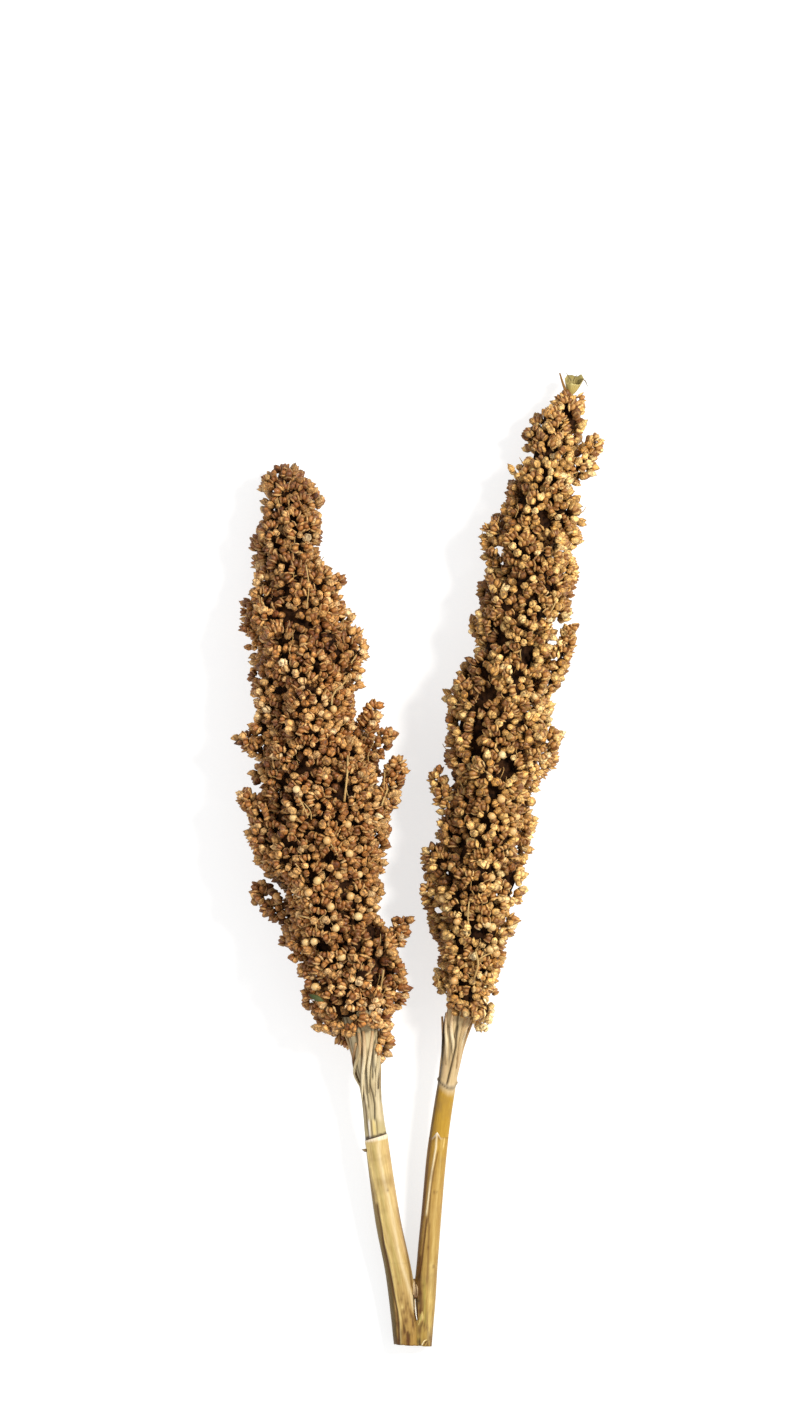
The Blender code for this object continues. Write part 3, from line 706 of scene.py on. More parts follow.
def thinned(candidates, draw):
    # keeps a candidate where no kept one is too near
    cell = club["budGap"]
    grid, buds = {}, []
    for _, _, place, direction in candidates:
        size = draw.triangular(0.84, 1.26, 1.06)
        place = settle(place, direction, size)
        centre = place + direction * club["gapMiddle"]
        key = tuple(int(c // cell) for c in centre)
        around = product(*((k - 1, k, k + 1) for k in key))
        others = (other for box in around for other in grid.get(box, ()))
        if not any((other - centre).length < cell * size for other in others):
            grid.setdefault(key, []).append(centre)
            buds.append((place, direction, size))
    return buds


# cream grains that have lost their husk, in millimetres: x, distance
bareGrains = {
    "left": (
        (-48.4, 231.4), (-53.3, 231.7), (-51.4, 227), (-54.3, 201.6), (-48, 199), (-36.4, 193.2),
        (-48.9, 181), (-42.9, 249.8), (-38, 207.5), (-37.5, 236.8), (-28, 246), (-33, 262), (-30, 226),
        (-26, 214), (-24.5, 233), (-41, 220), (-62, 262), (-58, 281), (-37, 318), (-20, 199),
    ),
    "right": (
        (62.5, 323.5), (44.5, 294.5), (46, 276), (38.5, 267), (55, 264), (51.5, 257), (38.5, 231),
        (24.5, 212.5), (36.5, 208), (40, 198.5), (43, 194.5), (20.5, 183.5),
    ),
}


def bareOnes(side, buds):
    # the uppermost grain near each of those places
    found = set()
    middles = [place + direction * club["budCrown"] for place, direction, _ in buds]
    for x, y in bareGrains[side]:
        target = Vector((x, y)) * mm
        near = [(middle.z, i) for i, middle in enumerate(middles) if (middle.xy - target).length < 0.0032]
        if near:
            found.add(max(near)[1])
    return found


def holeShare(place, x, y, radius):
    # 0 in the middle of a hollow and 1 at its rim
    return hypot(place.x / mm - x, (place.y / mm - y) / club["holeLength"]) / radius


def dress(side, buds, seed):
    # kind, hue and lightness of each bud, by its place and by chance; the darkening by place is painted
    # shade between the branches, in the hollows and on the left sides
    draw = random.Random(seed)
    bare = bareOnes(side, buds)
    dressed = []
    for i, (place, direction, size) in enumerate(buds):
        wobble = Vector([draw.uniform(-0.30, 0.30) for _ in range(3)])
        direction = (direction + wobble).normalized()
        patch = sin(place.x * 190 + place.y * 110) + sin(place.y * 160 - place.z * 210 + 1.3)
        upper = clamp((place.y - 0.30) / 0.18)
        outward, across = depthIn(side, place + direction * club["budCrown"])
        sunk = clamp((0.98 - outward) / 0.30)
        hole = 1.15 - min(holeShare(place, *hollow) for hollow in hollows[side])
        # painted shade: darker deep between the branches, on the heads' left sides and in the hollows
        dull = sunk * club["sunkShade"] + clamp(-across - 0.25) * club["leftSideShade"][side]
        dull += club["holeShade"] * clamp(hole * 2)
        lower = 0.6 * clamp((0.20 - place.y) / 0.03)
        if side == "right":
            lower = clamp((0.25 - place.y) / 0.06)
        hue = clamp(draw.gauss(0.48, 0.21) + 0.07 * patch + 0.08 * upper + 0.18 * lower - 0.6 * dull)
        lighter = between(club["lightAlong"][side], place.y / mm)
        lightness = clamp(draw.gauss(0.60, 0.22) + 0.05 * patch + 0.14 * lower + lighter - dull)
        chance = draw.random()
        kind = "cupped" if chance < 0.50 else "round" if chance < 0.74 else "pointed"
        if draw.random() < club["loose"] and i not in bare:
            place = place + direction * draw.uniform(*club["looseReach"])
            kind = "pointed" if chance < 0.5 else "cupped"
        if i in bare or draw.random() < (0.004 if place.y < 0.30 else 0.001):
            kind, size, lightness = "naked", draw.uniform(0.88, 1.05), draw.uniform(0.6, 1)
        place = settle(place, direction, size)
        shape = (kind, draw.randrange(3))
        dressed.append((shape, place, direction, draw.uniform(0, 2 * pi), size, hue, lightness))
    return dressed


def tangleMesh(side, clubs):
    # the dark inside that shows between the grains: an ovoid in each club, and a core; its near-black
    # colour is partly painted shade
    bm = bmesh.new()
    for root, tip, radius in clubs:
        middle = (root + tip) / 2
        besideGap = False
        for x, y, gapRadius in gaps[side]:
            gap = Vector((x, y)) * mm
            nearest = intersect_point_line(gap, root.xy, tip.xy)[0]
            besideGap |= (gap - nearest).length < radius + (gapRadius + 1) * mm
        if besideGap or middle.y < footAt(side, middle.x) + club["footRoom"]:
            continue
        made = bmesh.ops.create_icosphere(bm, subdivisions=1, radius=1.0)["verts"]
        along = tip - root
        scale = Matrix.Diagonal((radius * 0.85, radius * 0.85, along.length / 2 * 0.92, 1))
        turn = along.to_track_quat("Z", "Y").to_matrix().to_4x4()
        bmesh.ops.transform(bm, matrix=Matrix.Translation(middle) @ turn @ scale, verts=made)
    for x, y, radius in hollows[side]:
        top = skinTop(side, x * mm, y * mm)
        for v in bm.verts:
            away = holeShare(v.co, x, y, radius)
            if away < 1.3:
                v.co.z = min(v.co.z, top - 2.3 * radius * mm * clamp(1.6 - away))
    first, last = headOutline[side][0][0] + 0.014, headOutline[side][-1][0] - 0.012
    corners = club["corners"]
    ring = bmesh.ops.create_circle(bm, cap_ends=True, segments=corners, radius=0.001)["verts"]
    for i in range(club["rings"] + 1):
        y = first + (last - first) * i / club["rings"]
        left, right = edgesAt(side, y)
        inset = min(club["coreInset"], 0.30 * (right - left))
        if i:
            ring = extrudeRing(bm, ring)
        for j, v in enumerate(ring):
            angle = 2 * pi * j / corners
            v.co = skinAt(side, y, angle, inset)[0]
            if min((v.co.xy / mm - Vector(gap[:2])).length for gap in gaps[side]) < 6:
                v.co = skinAt(side, y, angle, inset + club["coreNarrowing"])[0]
    bmesh.ops.contextual_create(bm, geom=ringEdges(ring))
    bmesh.ops.recalc_face_normals(bm, faces=bm.faces)
    for v in bm.verts:
        v.co.z = max(v.co.z, 0.0006)
    return bm


def ringEdges(ring):
    held = set(ring)
    return [e for v in ring for e in v.link_edges if e.other_vert(v) in held and e.verts[0] is v]


def extrudeRing(bm, ring):
    made = bmesh.ops.extrude_edge_only(bm, edges=ringEdges(ring))["geom"]
    fresh = {g for g in made if isinstance(g, bmesh.types.BMVert)}
    return [next(e.other_vert(v) for e in v.link_edges if e.other_vert(v) in fresh) for v in ring]


def makeHead(side, seed, materials):
    clubs = clubsOf(side, seed)
    buds = dress(side, budsOf(side, clubs, seed + 1), seed + 2)
    templates = {(kind, k): budTemplate(kind, k) for kind in budParts for k in range(3)}
    buds.sort(key=lambda b: b[1].y)
    for i, section in enumerate(("Lower", "Middle", "Upper")):
        part = buds[len(buds) * i // 3: len(buds) * (i + 1) // 3]
        name = side + "Husks" + section
        finishPiece(name, scatter(name, templates, part), materials, "head_" + side)
        print(name, len(part), "buds")
    finishPiece(side + "Tangle", tangleMesh(side, clubs), [tangleLook], "head_" + side)


bristles = {
    "count": 90,
    "inset": (0.003, 0.007),
    "reach": (0.004, 0.008),
    "bend": 0.0016,
    "lean": 150,            # how strongly the bend turns them
    "radius": (0.00022, 0.00034),
    "tip": 0.00016,
}

# pale branchlets that lie over the heads, in millimetres: (x, distance) path, radii
branchlets = {
    "left": (
        (((-40.5, 320), (-39.7, 325.8), (-35.1, 330), (-33.2, 332.7), (-32, 335.7)), (0.45, 0.3)),
        (((-30.9, 341), (-29.5, 343), (-28.5, 345)), (0.35, 0.25)),
        (((-56.5, 215), (-51, 213.5), (-48.6, 212.4), (-48, 204.8)), (0.35, 0.4)),
        (((-48.6, 212.4), (-46.2, 213.8), (-44, 216)), (0.3, 0.2)),
        (((-58.6, 241), (-56, 238)), (0.35, 0.25)),
        (((-53.5, 390), (-52, 380), (-53, 368)), (0.3, 0.35)),
        (((-32.5, 295), (-32.8, 285), (-34.2, 272)), (0.45, 0.6)),
        (((-33, 286), (-28.5, 289), (-24, 294)), (0.4, 0.3)),
        (((-14, 287.5), (-14.5, 278)), (0.3, 0.3)),
        (((-57, 274), (-54.5, 269.5), (-52.3, 264.6)), (0.35, 0.45)),
        (((-54, 271), (-51, 267), (-50.6, 263)), (0.25, 0.3)),
        (((-15.7, 269.9), (-13, 277.2), (-10.6, 282), (-8.3, 287)), (0.55, 0.4)),
        (((-41, 251), (-38, 246.5), (-36.7, 243)), (0.3, 0.35)),
        (((-14.6, 188), (-15.2, 184), (-16.2, 178)), (0.45, 0.5)),
        (((-66.8, 418.8), (-67.8, 423.8)), (0.3, 0.2)),
    ),
    "right": (
        (((71.9, 373.4), (69.8, 368.5), (66.5, 363.5)), (0.45, 0.3)),
        (((31.2, 197), (32.6, 190.4), (30.4, 183)), (0.6, 0.5)),
        (((33, 193), (36, 195), (41.5, 196.7)), (0.45, 0.3)),
        (((12.6, 183), (13.6, 179), (16.8, 175.5)), (0.3, 0.45)),
        (((58, 352), (60, 358), (60.5, 364)), (0.3, 0.25)),
        (((28, 222), (27.4, 214), (28.6, 206)), (0.4, 0.4)),
    ),
}


def makeBristles(side, seed):
    # the branchlets, with short stalks of lost grains between them
    draw = random.Random(seed)
    bm = newShell()
    pale = (tone(214, 182, 122), tone(196, 158, 98))
    for path, radii in branchlets[side]:
        points = [Vector((x * mm, y * mm, skinTop(side, x * mm, y * mm) - 0.0008)) for x, y in path]
        strand(bm, points, [r * mm for r in radii], pale, 7, 6)
    first, last = headOutline[side][0][0] + 0.02, headOutline[side][-1][0] - 0.02
    for _ in range(bristles["count"]):
        y, angle = draw.uniform(first, last), draw.uniform(0, 2 * pi)
        start, outward = skinAt(side, y, angle, draw.uniform(*bristles["inset"]))
        bend = Vector([draw.uniform(-1, 1) for _ in range(3)]) * bristles["bend"]
        ahead = upStalk * draw.uniform(0.3, 1) + outward * draw.uniform(0.1, 0.3)
        ahead += bend * bristles["lean"]
        end = start + ahead.normalized() * draw.uniform(*bristles["reach"])
        points = [start, (start + end) / 2 + bend, end]
        for point in points:
            point.z = clamp(point.z, 0.0004, cadBox[1][2])
        radii = (draw.uniform(*bristles["radius"]), bristles["tip"])
        strand(bm, points, radii, (pale[1], pale[draw.randrange(2)]), 5, 4)
    finishPiece(side + "Bristles", bm, [strawLook], "head_" + side)


tangleLook = tangleMaterial()
darkSeedLook = grainMaterial(
    "darkSeedInHusk", 0.45,
    (0.0, tone(102, 54, 20)), (0.55, tone(166, 104, 46)), (1.0, tone(212, 158, 86)),
)
paleSeedLook = grainMaterial(
    "paleSeedInHusk", 0.45,
    (0.0, tone(112, 68, 28)), (0.55, tone(184, 130, 66)), (1.0, tone(218, 174, 104)),
)
bareLook = grainMaterial(
    "bareGrain", 0.38,
    (0.0, tone(204, 152, 88)), (0.5, tone(224, 186, 122)), (1.0, tone(236, 212, 160)),
)
makeHead("left", 41, [huskMaterial("left"), darkSeedLook, bareLook])
makeHead("right", 57, [huskMaterial("right"), paleSeedLook, bareLook])
print("heads made")

# closed lofts for stems, sheaths and strands

def newShell():
    bm = bmesh.new()
    bm.verts.layers.float_color.new("paint")
    bm.loops.layers.uv.new("along")
    return bm


def loft(bm, stations, columns, shapeAt):
    # rings joined into a closed tube; shapeAt(station, angle) gives a point, a colour and a length
    paint, uv = bm.verts.layers.float_color["paint"], bm.loops.layers.uv["along"]
    ring = bmesh.ops.create_circle(bm, cap_ends=True, segments=columns, radius=0.001)["verts"]
    places = {}
    for row, station in enumerate(stations):
        if row:
            ring = extrudeRing(bm, ring)
        for column, vert in enumerate(ring):
            point, colour, length = shapeAt(station, 2 * pi * column / columns - pi / 2)
            vert.co = point
            vert[paint] = (*colour, 1)
            places[vert] = (column, length / 0.1)
    bmesh.ops.contextual_create(bm, geom=ringEdges(ring))
    faces = list({f for v in places for f in v.link_faces})
    for face in faces:
        held = [places[loop.vert][0] for loop in face.loops]
        wraps = max(held) - min(held) > columns / 2
        for loop in face.loops:
            column, v = places[loop.vert]
            loop[uv].uv = ((column + (columns if wraps and column < columns / 2 else 0)) / columns, v)
    bmesh.ops.recalc_face_normals(bm, faces=faces)


def smoothPath(points, count):
    rows = [(i, *point) for i, point in enumerate(points)]
    return [Vector(smoothAt(rows, (len(points) - 1) * i / (count - 1))) for i in range(count)]


def strand(bm, points, radii, colours, count=9, columns=6, flat=1.0):
    # a thin round strand through the points; radii and colours are spread evenly along it
    path = smoothPath(points, count)
    shares = [i / (count - 1) for i in range(count)]
    radiusAt = np.interp(shares, np.linspace(0, 1, len(radii)), radii)
    spread = np.linspace(0, 1, len(colours))
    colourAt = [[float(np.interp(s, spread, channel)) for channel in zip(*colours)] for s in shares]

    def shapeAt(i, angle):
        along = (path[min(i + 1, count - 1)] - path[max(i - 1, 0)]).normalized()
        sideways = along.cross(Vector((0, 0, 1)))
        sideways = sideways.normalized() if sideways.length > 0.01 else Vector((1, 0, 0))
        lifted = sideways.cross(along)
        spoke = sideways * cos(angle) + lifted * (sin(angle) * flat)
        point = path[i] + spoke * float(radiusAt[i])
        point.z = max(point.z, 0.0)
        return point, colourAt[i], i * 0.004

    loft(bm, range(count), columns, shapeAt)


# stalk: lengths in millimetres from the cut end, radii in millimetres

stem = {
    "columns": 96,
    "step": 1.0,
    "radius": {
        "left": (
            (-6, 6.6), (0, 6.6), (20, 6.75), (38, 6.7), (70, 6.25), (97, 5.85), (104, 5.8), (112, 5.45),
            (122, 5.4), (132, 6), (140, 6.6), (150, 7.5), (165, 8.6),
        ),
        "right": (
            (-6, 5.5), (0, 5.5), (20, 5.7), (38, 5.35), (70, 5), (97, 4.95), (104, 4.85), (118, 4.75),
            (128, 4.7), (140, 4.7), (150, 5.1), (162, 6.3),
        ),
    },
    "wall": 0.55,
    "bandSlant": 1.75,      # of the left sheath's pale band
    "sheathTop": 104.0,
    "sheathFoot": 37.8,
    "notch": 11.9,          # x of the right sheath's notch
    "backBranches": 9,      # on each neck
    "cordDepth": 0.95,
    "cords": {"left": 12, "right": 7},
    "lips": 24,             # round the cut edge
}

straws = {
    "left": tone(214, 186, 124), "leftBase": tone(166, 130, 64), "leftNeck": tone(202, 184, 142),
    "right": tone(184, 148, 80), "rightBase": tone(176, 146, 74), "rightNeck": tone(204, 178, 132),
    "amber": tone(182, 142, 46), "olive": tone(92, 72, 22), "cream": tone(244, 228, 190),
    "brown": tone(92, 54, 20), "dark": tone(50, 36, 18), "white": tone(255, 250, 240),
    "grey": tone(128, 116, 96), "tan": tone(206, 168, 122), "green": tone(168, 156, 78),
    "yellow": tone(244, 218, 142), "pith": tone(228, 208, 160),
    "band": tone(250, 234, 208), "husk": tone(200, 174, 134), "torn": tone(168, 150, 92),
    "splinter": tone(146, 104, 48), "hair": tone(130, 116, 72), "hook": tone(104, 88, 52),
}

# lines along the stems, seen from above: half width, relief, colour, strength, places (distance, x); some
# pale lines are painted highlights, and the dark lines in the necks' grooves are partly painted shade
stemLines = {
    "left": (
        # pale margin edge along the seam, partly a painted highlight on its ridge
        (0.5, 0.28, "yellow", 0.75, (100.5, -22.8), (93.2, -22.1), (85.7, -20.3), (78.9, -18.9),
         (72.8, -17.4), (67.5, -16.4), (51.4, -14.1), (42.2, -11.2), (32.3, -9.7), (24.9, -8.6),
         (12.8, -6.4), (0, -6)),
        (0.55, -0.3, "brown", 0.95, (70, -18), (65.6, -17.4), (56.7, -15.6), (48.8, -14.5),
         (40.3, -12.6), (30, -10.5), (23.8, -9.5), (16.5, -8), (9.2, -7.3), (0, -6.9)),
        # painted highlight: a cream band down the left sheath
        (0.9, 0.1, "cream", 0.45, (101.5, -17.4), (92.4, -16.4), (83.5, -14.9), (76.4, -13.1),
         (69.2, -11.4), (58.5, -9.2), (49.5, -8.2), (37.4, -4.9), (30, -2.7), (23.8, -0.9), (16.5, 0.6)),
        (1.1, -0.05, "green", 0.35, (100, -20), (88, -18.6), (76, -15.9), (62, -13.6), (45, -9.6),
         (30, -6.6)),
        (0.65, 0, "brown", 0.7, (68, -7.6), (55, -4.9), (45, -3), (36, -1.4), (28, -0.6)),
        (0.9, 0, "tan", 0.35, (100, -13.2), (80, -10.2), (60, -6.6), (45, -4)),
    ),
    "leftNeck": (
        # dark lines in the grooves between the cords: dark gaps, partly painted shade
        (0.45, -0.9, "dark", 0.95, (150, -20.4), (139.9, -20.8), (135.3, -21.8), (129.5, -21.6),
         (125, -20), (120, -19.1), (112, -19.1)),
        (0.42, -0.45, "brown", 0.75, (150, -25.5), (142.1, -25.8), (134.2, -26.1), (125.7, -25),
         (120, -24), (110.4, -23.1), (103, -22)),
        (0.45, -0.8, "dark", 0.95, (152, -18.8), (144.9, -19.6), (136.5, -20), (133, -20.2)),
        (0.35, -0.35, "olive", 0.7, (148, -22.5), (137.2, -22.9), (125.7, -22.9), (118, -22.2)),
        (0.4, -0.7, "dark", 0.9, (146, -17.4), (139.5, -17.3), (131.1, -15.7), (121.9, -15.6)),
        (0.35, -0.35, "brown", 0.8, (112, -21.2), (104.5, -20.5)),
        (0.35, -0.35, "olive", 0.8, (112.5, -18.2), (105, -17.8)),
        (0.5, 0.2, "white", 0.8, (112, -22.2), (104, -21.6)),
        (0.7, 0.1, "yellow", 0.7, (112, -19.8), (105, -19.2)),
        # painted highlights along the neck's cords
        (0.7, 0.25, "cream", 0.5, (150, -24), (138, -24.2), (128, -23.9), (120, -23.2)),
        (0.9, 0.15, "cream", 0.45, (146, -18.2), (136, -18.8), (124, -17.8), (112, -16.4)),
    ),
    "right": (
        # pale margin edge along the seam, partly a painted highlight on its ridge
        (0.45, 0.3, "cream", 0.95, (105, 11.9), (98, 11.5), (89.9, 10.1), (83.3, 9), (75.2, 8),
         (67.8, 7.1), (64.6, 6.7)),
        (0.6, 0, "brown", 0.6, (104, 8.9), (85, 6.7), (60, 4.2), (44, 2.5)),
        (0.35, -0.25, "brown", 0.7, (96, 12.4), (91.7, 11.5), (85.4, 10.1), (77, 8.9), (67.1, 8),
         (60, 7.4)),
        (0.45, -0.25, "brown", 0.95, (63, 6.9), (57.6, 6.2), (50, 5.3), (40.3, 4.2), (33, 2.8)),
        (0.5, -0.1, "brown", 0.6, (60, 8.3), (55, 7.9), (46, 7.7), (37.4, 7.5), (30, 7)),
        (1.1, 0, "yellow", 0.4, (40, 9.3), (28, 8.6), (14, 8.2), (2, 8)),
        (0.8, 0, "brown", 0.55, (88, 7), (76, 5.9), (62, 4.8)),
        (1.2, -0.1, "brown", 0.8, (44, 3.4), (32, 3), (22, 3.6), (15, 4.2)),
        # painted highlight along the right side of the right sheath
        (0.8, 0, "yellow", 0.25, (104, 14.8), (92, 13.7), (76, 12.2), (60, 10.8), (40, 9.8), (20, 9)),
        (0.6, 0, "green", 0.6, (32, 5.6), (24, 5.8), (16, 6), (10, 6.1)),
        (0.3, 0.1, "yellow", 0.7, (107, 16.2), (103, 15.8), (98, 15.2)),
    ),
    "rightNeck": (
        # dark lines in the grooves between the cords: dark gaps, partly painted shade
        (0.55, -0.85, "dark", 1, (160, 22.5), (153.1, 21.6), (149, 21.5), (141.7, 19.8), (138.1, 18.9),
         (130, 16.9)),
        (0.3, -0.4, "brown", 0.85, (160, 17.6), (156.8, 18.3), (155.3, 19.4), (153, 21.2)),
        (0.3, -0.35, "grey", 0.8, (158, 18.6), (153.8, 18.3), (147.2, 18.2), (142, 17.9)),
        (0.32, -0.4, "brown", 0.85, (160, 25.4), (153.8, 24.6), (150.2, 23.8), (146, 22.9)),
        (0.35, -0.2, "brown", 0.6, (145, 22.8), (142.8, 21.9)),
        (0.8, -0.1, "dark", 0.9, (160, 16.4), (150, 15.2), (139.2, 14), (132.6, 13.2)),
        (0.6, 0, "dark", 0.7, (131, 12.9), (115, 10.5), (104, 8.7), (98, 7.8)),
        (0.6, 0.1, "tan", 0.5, (150, 16.6), (142, 16.4), (134, 15.6)),
    ),
}

# stains and specks: distance, x, radius, colour, strength
stemSpots = {
    "left": (
        (77, -12.6, 0.5, "brown", 0.7), (11.3, -3.6, 1.1, "brown", 0.8), (15.7, -4.6, 0.7, "brown", 0.7),
        (22, -5.8, 0.8, "brown", 0.5), (18.3, -5.3, 0.6, "yellow", 0.8), (1.8, -2.7, 1.2, "brown", 0.9),
        (1.2, -7.6, 1.6, "brown", 0.8), (5, -1.6, 0.8, "olive", 0.6), (8, -4.4, 0.7, "olive", 0.5),
        (9.6, -7.2, 0.9, "brown", 0.6), (25, -4.9, 0.6, "brown", 0.5), (14, -1.2, 0.9, "brown", 0.5),
        (6, -5.6, 1.2, "brown", 0.5), (30, -7.4, 0.6, "brown", 0.35), (20, -2.6, 0.6, "olive", 0.5),
    ),
    "right": (
        (38.5, 10.3, 0.6, "brown", 0.7), (1.8, 3.1, 1.1, "dark", 0.8), (21, 2.8, 0.8, "dark", 0.8),
        (75.9, 10.6, 0.6, "brown", 0.6), (75.9, 12, 0.4, "brown", 0.5), (48, 7.6, 0.6, "brown", 0.6),
        (13, 4.6, 0.8, "yellow", 0.6), (9, 4, 0.7, "olive", 0.7), (33, 3, 1, "dark", 0.7),
        (25, 3.6, 1, "brown", 0.8), (16, 3.4, 0.9, "brown", 0.8), (3.5, 8.6, 0.9, "brown", 0.7),
        (7, 3.2, 1.1, "brown", 0.7), (29, 5, 0.8, "brown", 0.5), (2, 6, 1, "brown", 0.5),
    ),
    "leftNeck": ((124, -15.5, 0.7, "dark", 0.9), (129, -15.9, 0.5, "dark", 0.7)),
    "rightNeck": ((132, 13, 0.9, "dark", 0.8),),
}


def mixed(first, second, share):
    # colours, or names of straws
    first, second = straws.get(first, first), straws.get(second, second)
    return tuple(a + (b - a) * share for a, b in zip(first, second))


def lineShare(line, y, x):
    # how strongly a line marks the place, from 0 to 1
    width, _, _, _, *path = line
    path.sort()
    fade = clamp(min(y - path[0][0], path[-1][0] - y) / 2 + 0.6)
    if fade == 0:
        return 0.0
    return fade * exp(-((x - between(path, y)) / width) ** 2)


def dressedPoint(side, lines, y, angle, colour, radius, inset=1.0):
    # a stem's surface with its lines and specks: point and colour; y and radius in millimetres
    x, z = smoothAt(stemAxis[side], y * mm)
    across = x / mm + radius * cos(angle)
    if sin(angle) > -0.15 and inset == 1.0:
        for line in stemLines[lines]:
            share = lineShare(line, y, across)
            radius += share * line[1]
            colour = mixed(colour, line[2], share * line[3])
        for far, at, size, shade, strength in stemSpots[lines]:
            gap = hypot((y - far) / 1.6, across - at) / size
            colour = mixed(colour, shade, strength * exp(-gap * gap))
    reach = radius * inset * mm
    z = max(z + reach * sin(angle), 0.0)
    return Vector((x + reach * cos(angle), y * mm, z)), colour


def steps(low, high, step):
    count = max(1, round((high - low) / step))
    return [low + (high - low) * i / count for i in range(count + 1)]


def stemRadius(side, y):
    return smoothAt(stem["radius"][side], y)[0]


def stemAt(side, y):
    # a stem's middle, height and radius at distance y, in metres
    return *smoothAt(stemAxis[side], y), stemRadius(side, y / mm) * mm


def stemTop(x, y):
    # height of the stems' upper skin over a place, in metres
    best = 0.0
    for side in ("left", "right"):
        middle, height, radius = stemAt(side, y)
        offset = abs(x - middle)
        if offset < radius:
            best = max(best, height + sqrt(radius**2 - offset**2))
    return best


def sideTint(side, y, angle):
    # sheath colour: darker and greener to the left and towards the cut end
    turned = degrees(angle)
    colour = mixed(side + "Base", side, clamp((y - 2) / 72) ** 0.8)
    around = Vector((cos(angle) * 5, sin(angle) * 5, y / 8 + len(side)))
    stain = noise.noise(around) + 0.5 * noise.noise(around * 2.3)
    colour = mixed(colour, "brown", 0.9 * clamp(stain * 4 - 0.1) * clamp(1.3 - y / 22))
    if side == "left":
        seam = between(((0, 131), (42, 125), (65, 133), (90, 154), (104, 170)), y)
        past = clamp((turned - seam) / 4) if sin(angle) > -0.2 else 1.0
        colour = mixed(colour, "olive", 0.90 * past * clamp(1.25 - y / 130))
        greyed = clamp((turned - 158) / 18) * clamp((y - 45) / 25)
        return mixed(colour, "grey", 0.5 * greyed)
    colour = mixed(colour, "amber", 0.75 * clamp((y - 70) / 28))
    leftness = clamp((turned - 112) / 30) if sin(angle) > -0.2 else 1.0
    return mixed(colour, "brown", 0.50 * leftness)


def stalkBase(side, seed):
    # the cut end with its pith, up to where the sheath begins
    draw = random.Random(seed)
    lips = stem["lips"]
    ragged = [draw.uniform(-0.5, 0.5) for _ in range(lips)]

    def shapeAt(station, angle):
        y, inset, pith = station
        share = (angle / (2 * pi) * lips) % lips
        at = int(share)
        lip = max(ragged[at % lips] * (1 - share % 1) + ragged[(at + 1) % lips] * (share % 1), 0.0)
        tint = sideTint(side, y, angle)
        point, colour = dressedPoint(side, side, y, angle, tint, stemRadius(side, y), inset)
        if pith:
            speck = 0.5 + 0.5 * sin(angle * 9 + inset * 40)
            browned = 0.25 * speck + 0.5 * clamp((inset - 0.85) / 0.1)
            colour = mixed("pith", "brown", browned)
        point.y += lip * mm * clamp(1 - y / 4) * clamp((inset - 0.7) / 0.3)
        point.y -= (0.00145 + 0.06 * point.x) * clamp(1 - y / 10)
        return point, colour, y * mm

    bm = newShell()
    stations = [(0, share, True) for share in (0.06, 0.3, 0.55, 0.78, 0.90, 0.97)]
    stations += [(y, 1.0, False) for y in steps(0, 46, stem["step"])]
    stations += [(46.6, 0.7, False)]
    loft(bm, stations, stem["columns"], shapeAt)
    return bm


def rimHeight(side, x, angle):
    # the sheath's upper edge
    if side == "left":
        return 103.5 + stem["bandSlant"] * cos(angle)
    return 103.3 + (2.9 * max(0.0, 1 - abs(x - stem["notch"]) / 2.1) if sin(angle) > 0 else 0)


def sheathPiece(side):
    # leaf sheath, rolled round the stem, with a pale cut edge at the top
    foot, top, notch = stem["sheathFoot"], stem["sheathTop"], stem["notch"]

    def shapeAt(station, angle):
        y, inset, inner = station
        middle = smoothAt(stemAxis[side], min(y, top) * mm)[0] / mm
        across = middle + stemRadius(side, y) * cos(angle)
        rim = rimHeight(side, across, angle)
        y = y + (rim - top) * clamp((y - 92) / (top - 92))
        colour = sideTint(side, y, angle)
        radius = stemRadius(side, y) - 0.02 + 0.08 * clamp((y - foot) / 10)
        below = rim - y
        if side == "left":
            thick = 1.25 + 0.5 * (1 + cos(angle))
            radius += 0.16 * clamp((thick - below) / 0.3 + 0.5)
        point, colour = dressedPoint(side, side, y, angle, colour, radius, inset)
        if side == "left" and below < thick:
            colour = mixed(colour, "band", 0.95 * clamp((thick - below) / 0.4))
        if side == "right":
            near = exp(-((across - notch) / 1.7) ** 2) if sin(angle) > 0 else 0.0
            edge = clamp(1 - below / 0.9)
            colour = mixed(colour, "white", clamp(1.5 - below / 0.9) * near)
            colour = mixed(colour, "brown", 0.45 * edge * (1 - near))
            dip = clamp(1 - abs(below - 1.9) / 1.3) * near * clamp((abs(across - notch) - 0.3) / 0.2)
            colour = mixed(colour, "brown", 0.75 * dip)
        # the inside of the rim is painted dark: painted shade in the sheath's mouth
        if inner:
            colour = straws["dark"]
        return point, colour, y * mm

    bm = newShell()
    wall = 1 - stem["wall"] / stemRadius(side, top)
    stations = [(foot - 0.2, 0.85, False)]
    stations += [(y, 1.0, False) for y in steps(foot, top, stem["step"] * 0.8)]
    stations += [(top, 1 - (1 - wall) * 0.5, False), (top, wall, False), (top - 1.6, wall * 0.985, True)]
    loft(bm, stations, stem["columns"], shapeAt)
    return bm


